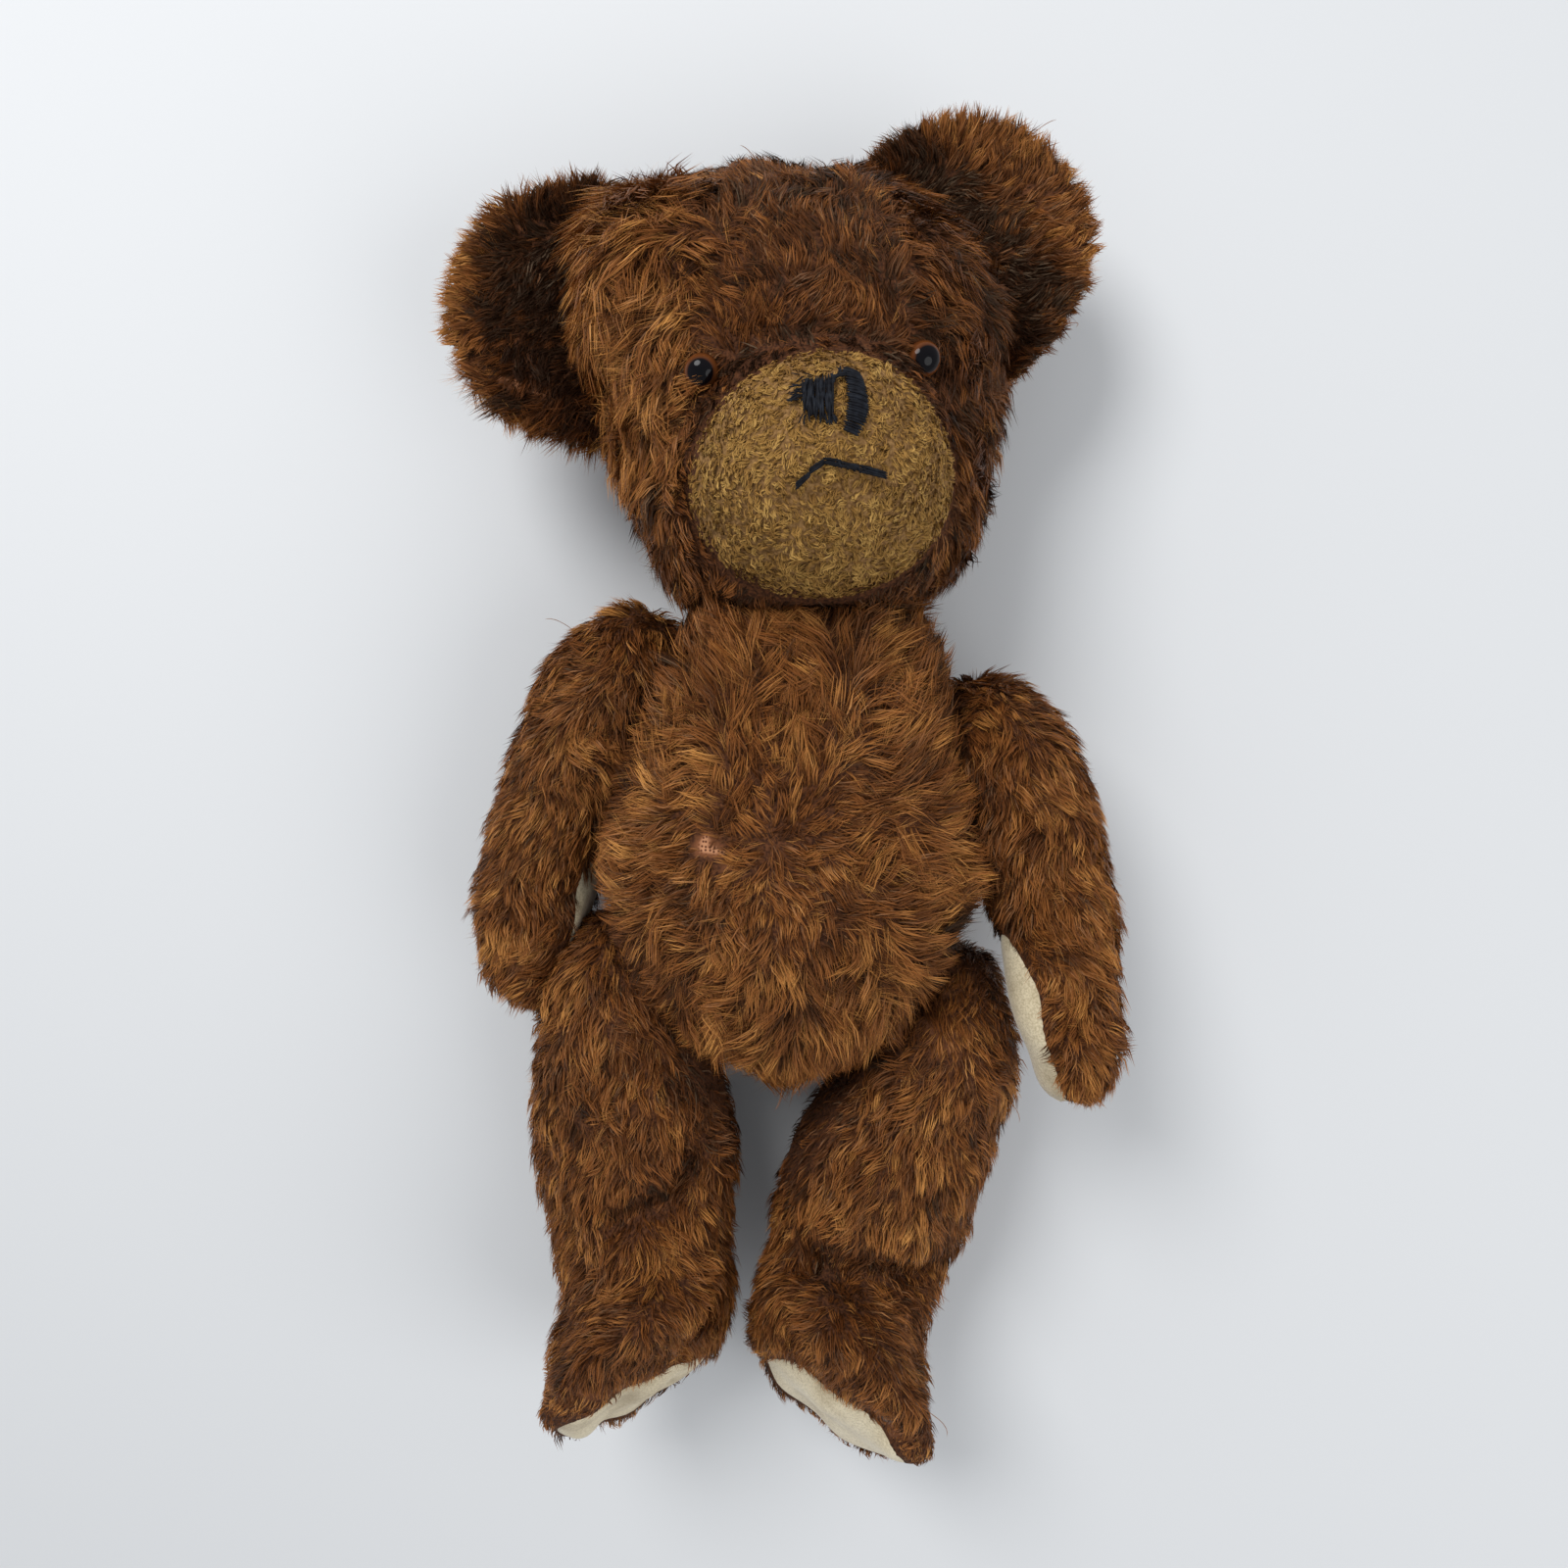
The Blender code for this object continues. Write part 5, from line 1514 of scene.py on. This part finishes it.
def nose_lines():
    """Pixel lines of the stitches with their share of the floss's girth."""
    rng = np.random.default_rng(7)
    lines = []
    for k in range(NOSE_STITCHES):
        s = k / (NOSE_STITCHES - 1)
        x = NOSE_LEFT_X[0] + (NOSE_LEFT_X[1] - NOSE_LEFT_X[0]) * s
        top = NOSE_LEFT_Y[0] + 4 * (1 - s) + rng.uniform(-2, 4)
        low = NOSE_LEFT_Y[1] - 9 * (1 - s) ** 2 + rng.uniform(-9, 4)
        drift = rng.uniform(-3.5, 2.5)
        lines.append(((x + rng.uniform(-1.5, 1.5), top), (x + drift, low), rng.uniform(0.6, 1.2)))
    for k in range(NOSE_STITCHES + 6):
        s = k / (NOSE_STITCHES + 5)
        y = NOSE_RIGHT_Y[0] + (NOSE_RIGHT_Y[1] - NOSE_RIGHT_Y[0]) * s
        left = NOSE_RIGHT_X[0] + 5 * (1 - abs(2 * s - 1)) + rng.uniform(-1.2, 1.2)
        right = NOSE_RIGHT_X[1] - 9 * (1 - s) ** 3 - 12 * s**4 + rng.uniform(-1, 1)
        lines.append(((left, y - 4), (right, y + 3), rng.uniform(0.7, 1.1)))
    for k in range(12):
        x = rng.uniform(NOSE_LEFT_X[0] + 3, NOSE_LEFT_X[1] - 1)
        y = rng.uniform(NOSE_LEFT_Y[0] + 4, NOSE_LEFT_Y[1] - 22)
        lines.append(((x, y), (x + rng.uniform(-4, 4), y + 18), 1.3))
    for k in range(3):
        (ax, ay), (bx, by) = NOSE_TOP
        start = (ax + rng.uniform(-3, 3), ay + 1.5 * k)
        lines.append((start, (bx + rng.uniform(-3, 3), by + 1.5 * k), 0.8))
    for k in range(4):
        x = NOSE_LEFT_X[1] + 0.8 * k
        lines.append(((x - 2, NOSE_LEFT_Y[1] - 10 + k), (x + 2, NOSE_LEFT_Y[1] + rng.uniform(-4, 3)), 0.8))
        lines.append(((x - 2, NOSE_LEFT_Y[0] + k), (x + 2, NOSE_LEFT_Y[0] + 9 - 2 * k), 0.8))
    for k in range(34):
        x = rng.uniform(*NOSE_FRAY)
        y = rng.uniform(NOSE_LEFT_Y[0], NOSE_LEFT_Y[0] + 26)
        lines.append(((x, y), (x - rng.uniform(4, 14), y + rng.uniform(-3, 10)), rng.uniform(0.30, 0.65)))
    for k in range(14):
        x = rng.uniform(NOSE_LEFT_X[0] - 2, NOSE_LEFT_X[1])
        foot = NOSE_LEFT_Y[1] + rng.uniform(-4, 4)
        lines.append(((x, foot - 11), (x + rng.uniform(-5, 4), foot), 0.45))
    x, y = NOSE_TUFT
    for k in range(5):
        start = (x + rng.uniform(-3, 3), y + 2)
        lines.append((start, (x + rng.uniform(-4, 4), y - rng.uniform(3, 8)), 0.4))
    return lines


MOUTH_POINTS = [(814, 495), (827, 481), (841, 470), (857, 473), (874, 477), (901, 485)]
MOUTH_ROWS = (-2.0, 0.0, 2.0)
MOUTH_TIES = (850, 472)


def mouth_lines():
    rng = np.random.default_rng(8)
    lines = []
    for (ax, ay), (bx, by) in zip(MOUTH_POINTS[:-1], MOUTH_POINTS[1:]):
        for shift in MOUTH_ROWS:
            start = (ax - 1, ay + shift + rng.uniform(-1, 1))
            lines.append((start, (bx + 1, by + shift + rng.uniform(-1, 1)), 1.0))
    for k in range(9):
        x = MOUTH_TIES[0] + k * 6
        y = MOUTH_TIES[1] + k * 1.5
        lines.append(((x - 2, y - 4), (x + 2, y + 4), 0.9))
    return lines


stitch("nose_floss", "nose_stitching", nose_lines(), 0.00045, 0.0016, 71)
stitch("mouth_floss", "mouth_stitching", mouth_lines(), 0.00042, 0.0016, 72)


# Single hairs that stand off, and a wisp of white fluff: form, pixels from, by way of and to.
STRAY_HAIRS = [
    ("left_ear", (990, 140), (978, 126), (988, 112)),
    ("left_ear", (1098, 318), (1108, 324), (1098, 334)),
    ("left_ear", (1050, 135), (1062, 124), (1078, 122)),
    ("head", (775, 165), (768, 152), (755, 148)),
    ("head", (1012, 470), (1026, 482), (1018, 500)),
    ("right_arm", (585, 640), (568, 628), (556, 632)),
    ("left_leg", (955, 1440), (972, 1450), (966, 1466)),
    ("left_leg", (1030, 1120), (1044, 1128), (1040, 1146)),
    ("torso", (795, 1105), (800, 1122), (790, 1134)),
]
FLUFF = [
    ((902, 1062), (906, 1054), (903, 1045)),
    ((903, 1060), (910, 1056), (914, 1062)),
    ((901, 1058), (897, 1052), (903, 1049)),
]
STRAY_RADIUS = 0.00011
STRAY_SIDES = 5
LINT_COLOUR = (0.75, 0.74, 0.70, 1.0)


def pixel_at_depth(pixel, depth):
    ray = pixel_ray(*pixel)
    return CAMERA_PLACE + ray * (depth / (-ray @ camera_z))


def stray_path(tree, pixels):
    root = seen_spot(tree, pixels[0])
    depth = (CAMERA_PLACE - root) @ camera_z
    middle = pixel_at_depth(pixels[1], depth - 0.003)
    end = pixel_at_depth(pixels[2], depth - 0.005)
    s = np.linspace(0, 1, 9)[:, None]
    return root * (1 - s) ** 2 + 2 * middle * s * (1 - s) + end * s**2


def make_strays(name, body, trees, material):
    """One piece of thin tubes, with the bake map of a tinted hair."""
    hairs = [(stray_path(tree, pixels), STRAY_RADIUS) for tree, pixels in trees]
    verts, quads = joined_tubes(hairs, STRAY_SIDES)
    item = mesh_object(name, verts, [quads])
    share = (quads.ravel() % STRAY_SIDES) * 0.002
    set_bake_uv(item, np.stack([0.62 + share, np.full(quads.size, 0.6)], axis=-1))
    settle(item, body, material)


def make_all_strays():
    forms = {**FORMS, "left_ear": EAR_FORMS["left"]}
    groups = {}
    for form_name, *pixels in STRAY_HAIRS:
        body = "head" if form_name == "left_ear" else form_name
        groups.setdefault(body, []).append((forms[form_name].tree(), pixels))
    for body, trees in groups.items():
        make_strays(f"{body}_stray_hairs", body, trees, mohair)
    leg_tree = FORMS["left_leg"].tree()
    lint = plain_material("white_lint", LINT_COLOUR)
    make_strays("lint", "left_leg", [(leg_tree, pixels) for pixels in FLUFF], lint)


make_all_strays()


# Joint hardware keeps its shape and gets worn board and dull steel.
BOARD_STOPS = [(0.3, (0.17, 0.10, 0.055)), (0.7, (0.33, 0.21, 0.12))]
STEEL_STOPS = [(0.45, (0.45, 0.44, 0.42)), (0.75, (0.24, 0.13, 0.07))]


def hardware_materials():
    board, tree, shader = new_material("pressed_board", 0.85, 0.2)
    paint(tree, shader, ramp(tree, noise(tree, 700.0, 4.0), BOARD_STOPS))
    steel, tree, shader = new_material("dull_steel", 0.45, 0.5)
    shader.inputs["Metallic"].default_value = 1.0
    paint(tree, shader, ramp(tree, noise(tree, 300.0, 4.0), STEEL_STOPS))
    return board, steel


board, steel = hardware_materials()
for item in list(bpy.data.objects):
    if item.type == "MESH" and item.material_slots:
        if "_disc" in item.name:
            item.material_slots[0].material = board
        elif "_washer" in item.name or "_pin" in item.name:
            item.material_slots[0].material = steel


# Floor, world and lamps.
FLOOR_HALF = 3.0
FLOOR_DROP = 0.0005
FLOOR_COLOUR = (0.66, 0.67, 0.68, 1.0)
SKY_COLOUR = (0.93, 0.96, 1.0, 1.0)
SKY_STRENGTH = 0.55
KEY_LAMP = ((-0.55, 0.75, 1.15), 0.7, 14.0)
FILL_LAMP = ((0.9, -0.3, 1.0), 1.0, 6.0)
LAMP_AIM = Vector((0, 0, 0.05))


def make_stage():
    mesh = bpy.data.meshes.new("floor")
    corners = [(x * FLOOR_HALF, y * FLOOR_HALF, 0) for x, y in ((-1, -1), (1, -1), (1, 1), (-1, 1))]
    mesh.from_pydata(corners, [], [(0, 1, 2, 3)])
    floor = bpy.data.objects.new("floor", mesh)
    bpy.context.scene.collection.objects.link(floor)
    floor.location.z = -FLOOR_DROP
    floor.data.materials.append(plain_material("pale_floor", FLOOR_COLOUR))


def make_lamp(name, place, size, energy):
    data = bpy.data.lights.new(name, "AREA")
    data.shape = "DISK"
    data.size = size
    data.energy = energy
    lamp = bpy.data.objects.new(name, data)
    lamp.location = place
    lamp.rotation_euler = (LAMP_AIM - Vector(place)).to_track_quat("-Z", "Y").to_euler()
    bpy.context.scene.collection.objects.link(lamp)


def make_light():
    world = bpy.data.worlds.new("studio")
    bpy.context.scene.world = world
    world.use_nodes = True
    back = world.node_tree.nodes["Background"]
    back.inputs["Color"].default_value = SKY_COLOUR
    back.inputs["Strength"].default_value = SKY_STRENGTH
    make_lamp("key", *KEY_LAMP)
    make_lamp("fill", *FILL_LAMP)
    bpy.context.scene.view_settings.view_transform = "Standard"


make_stage()
make_light()
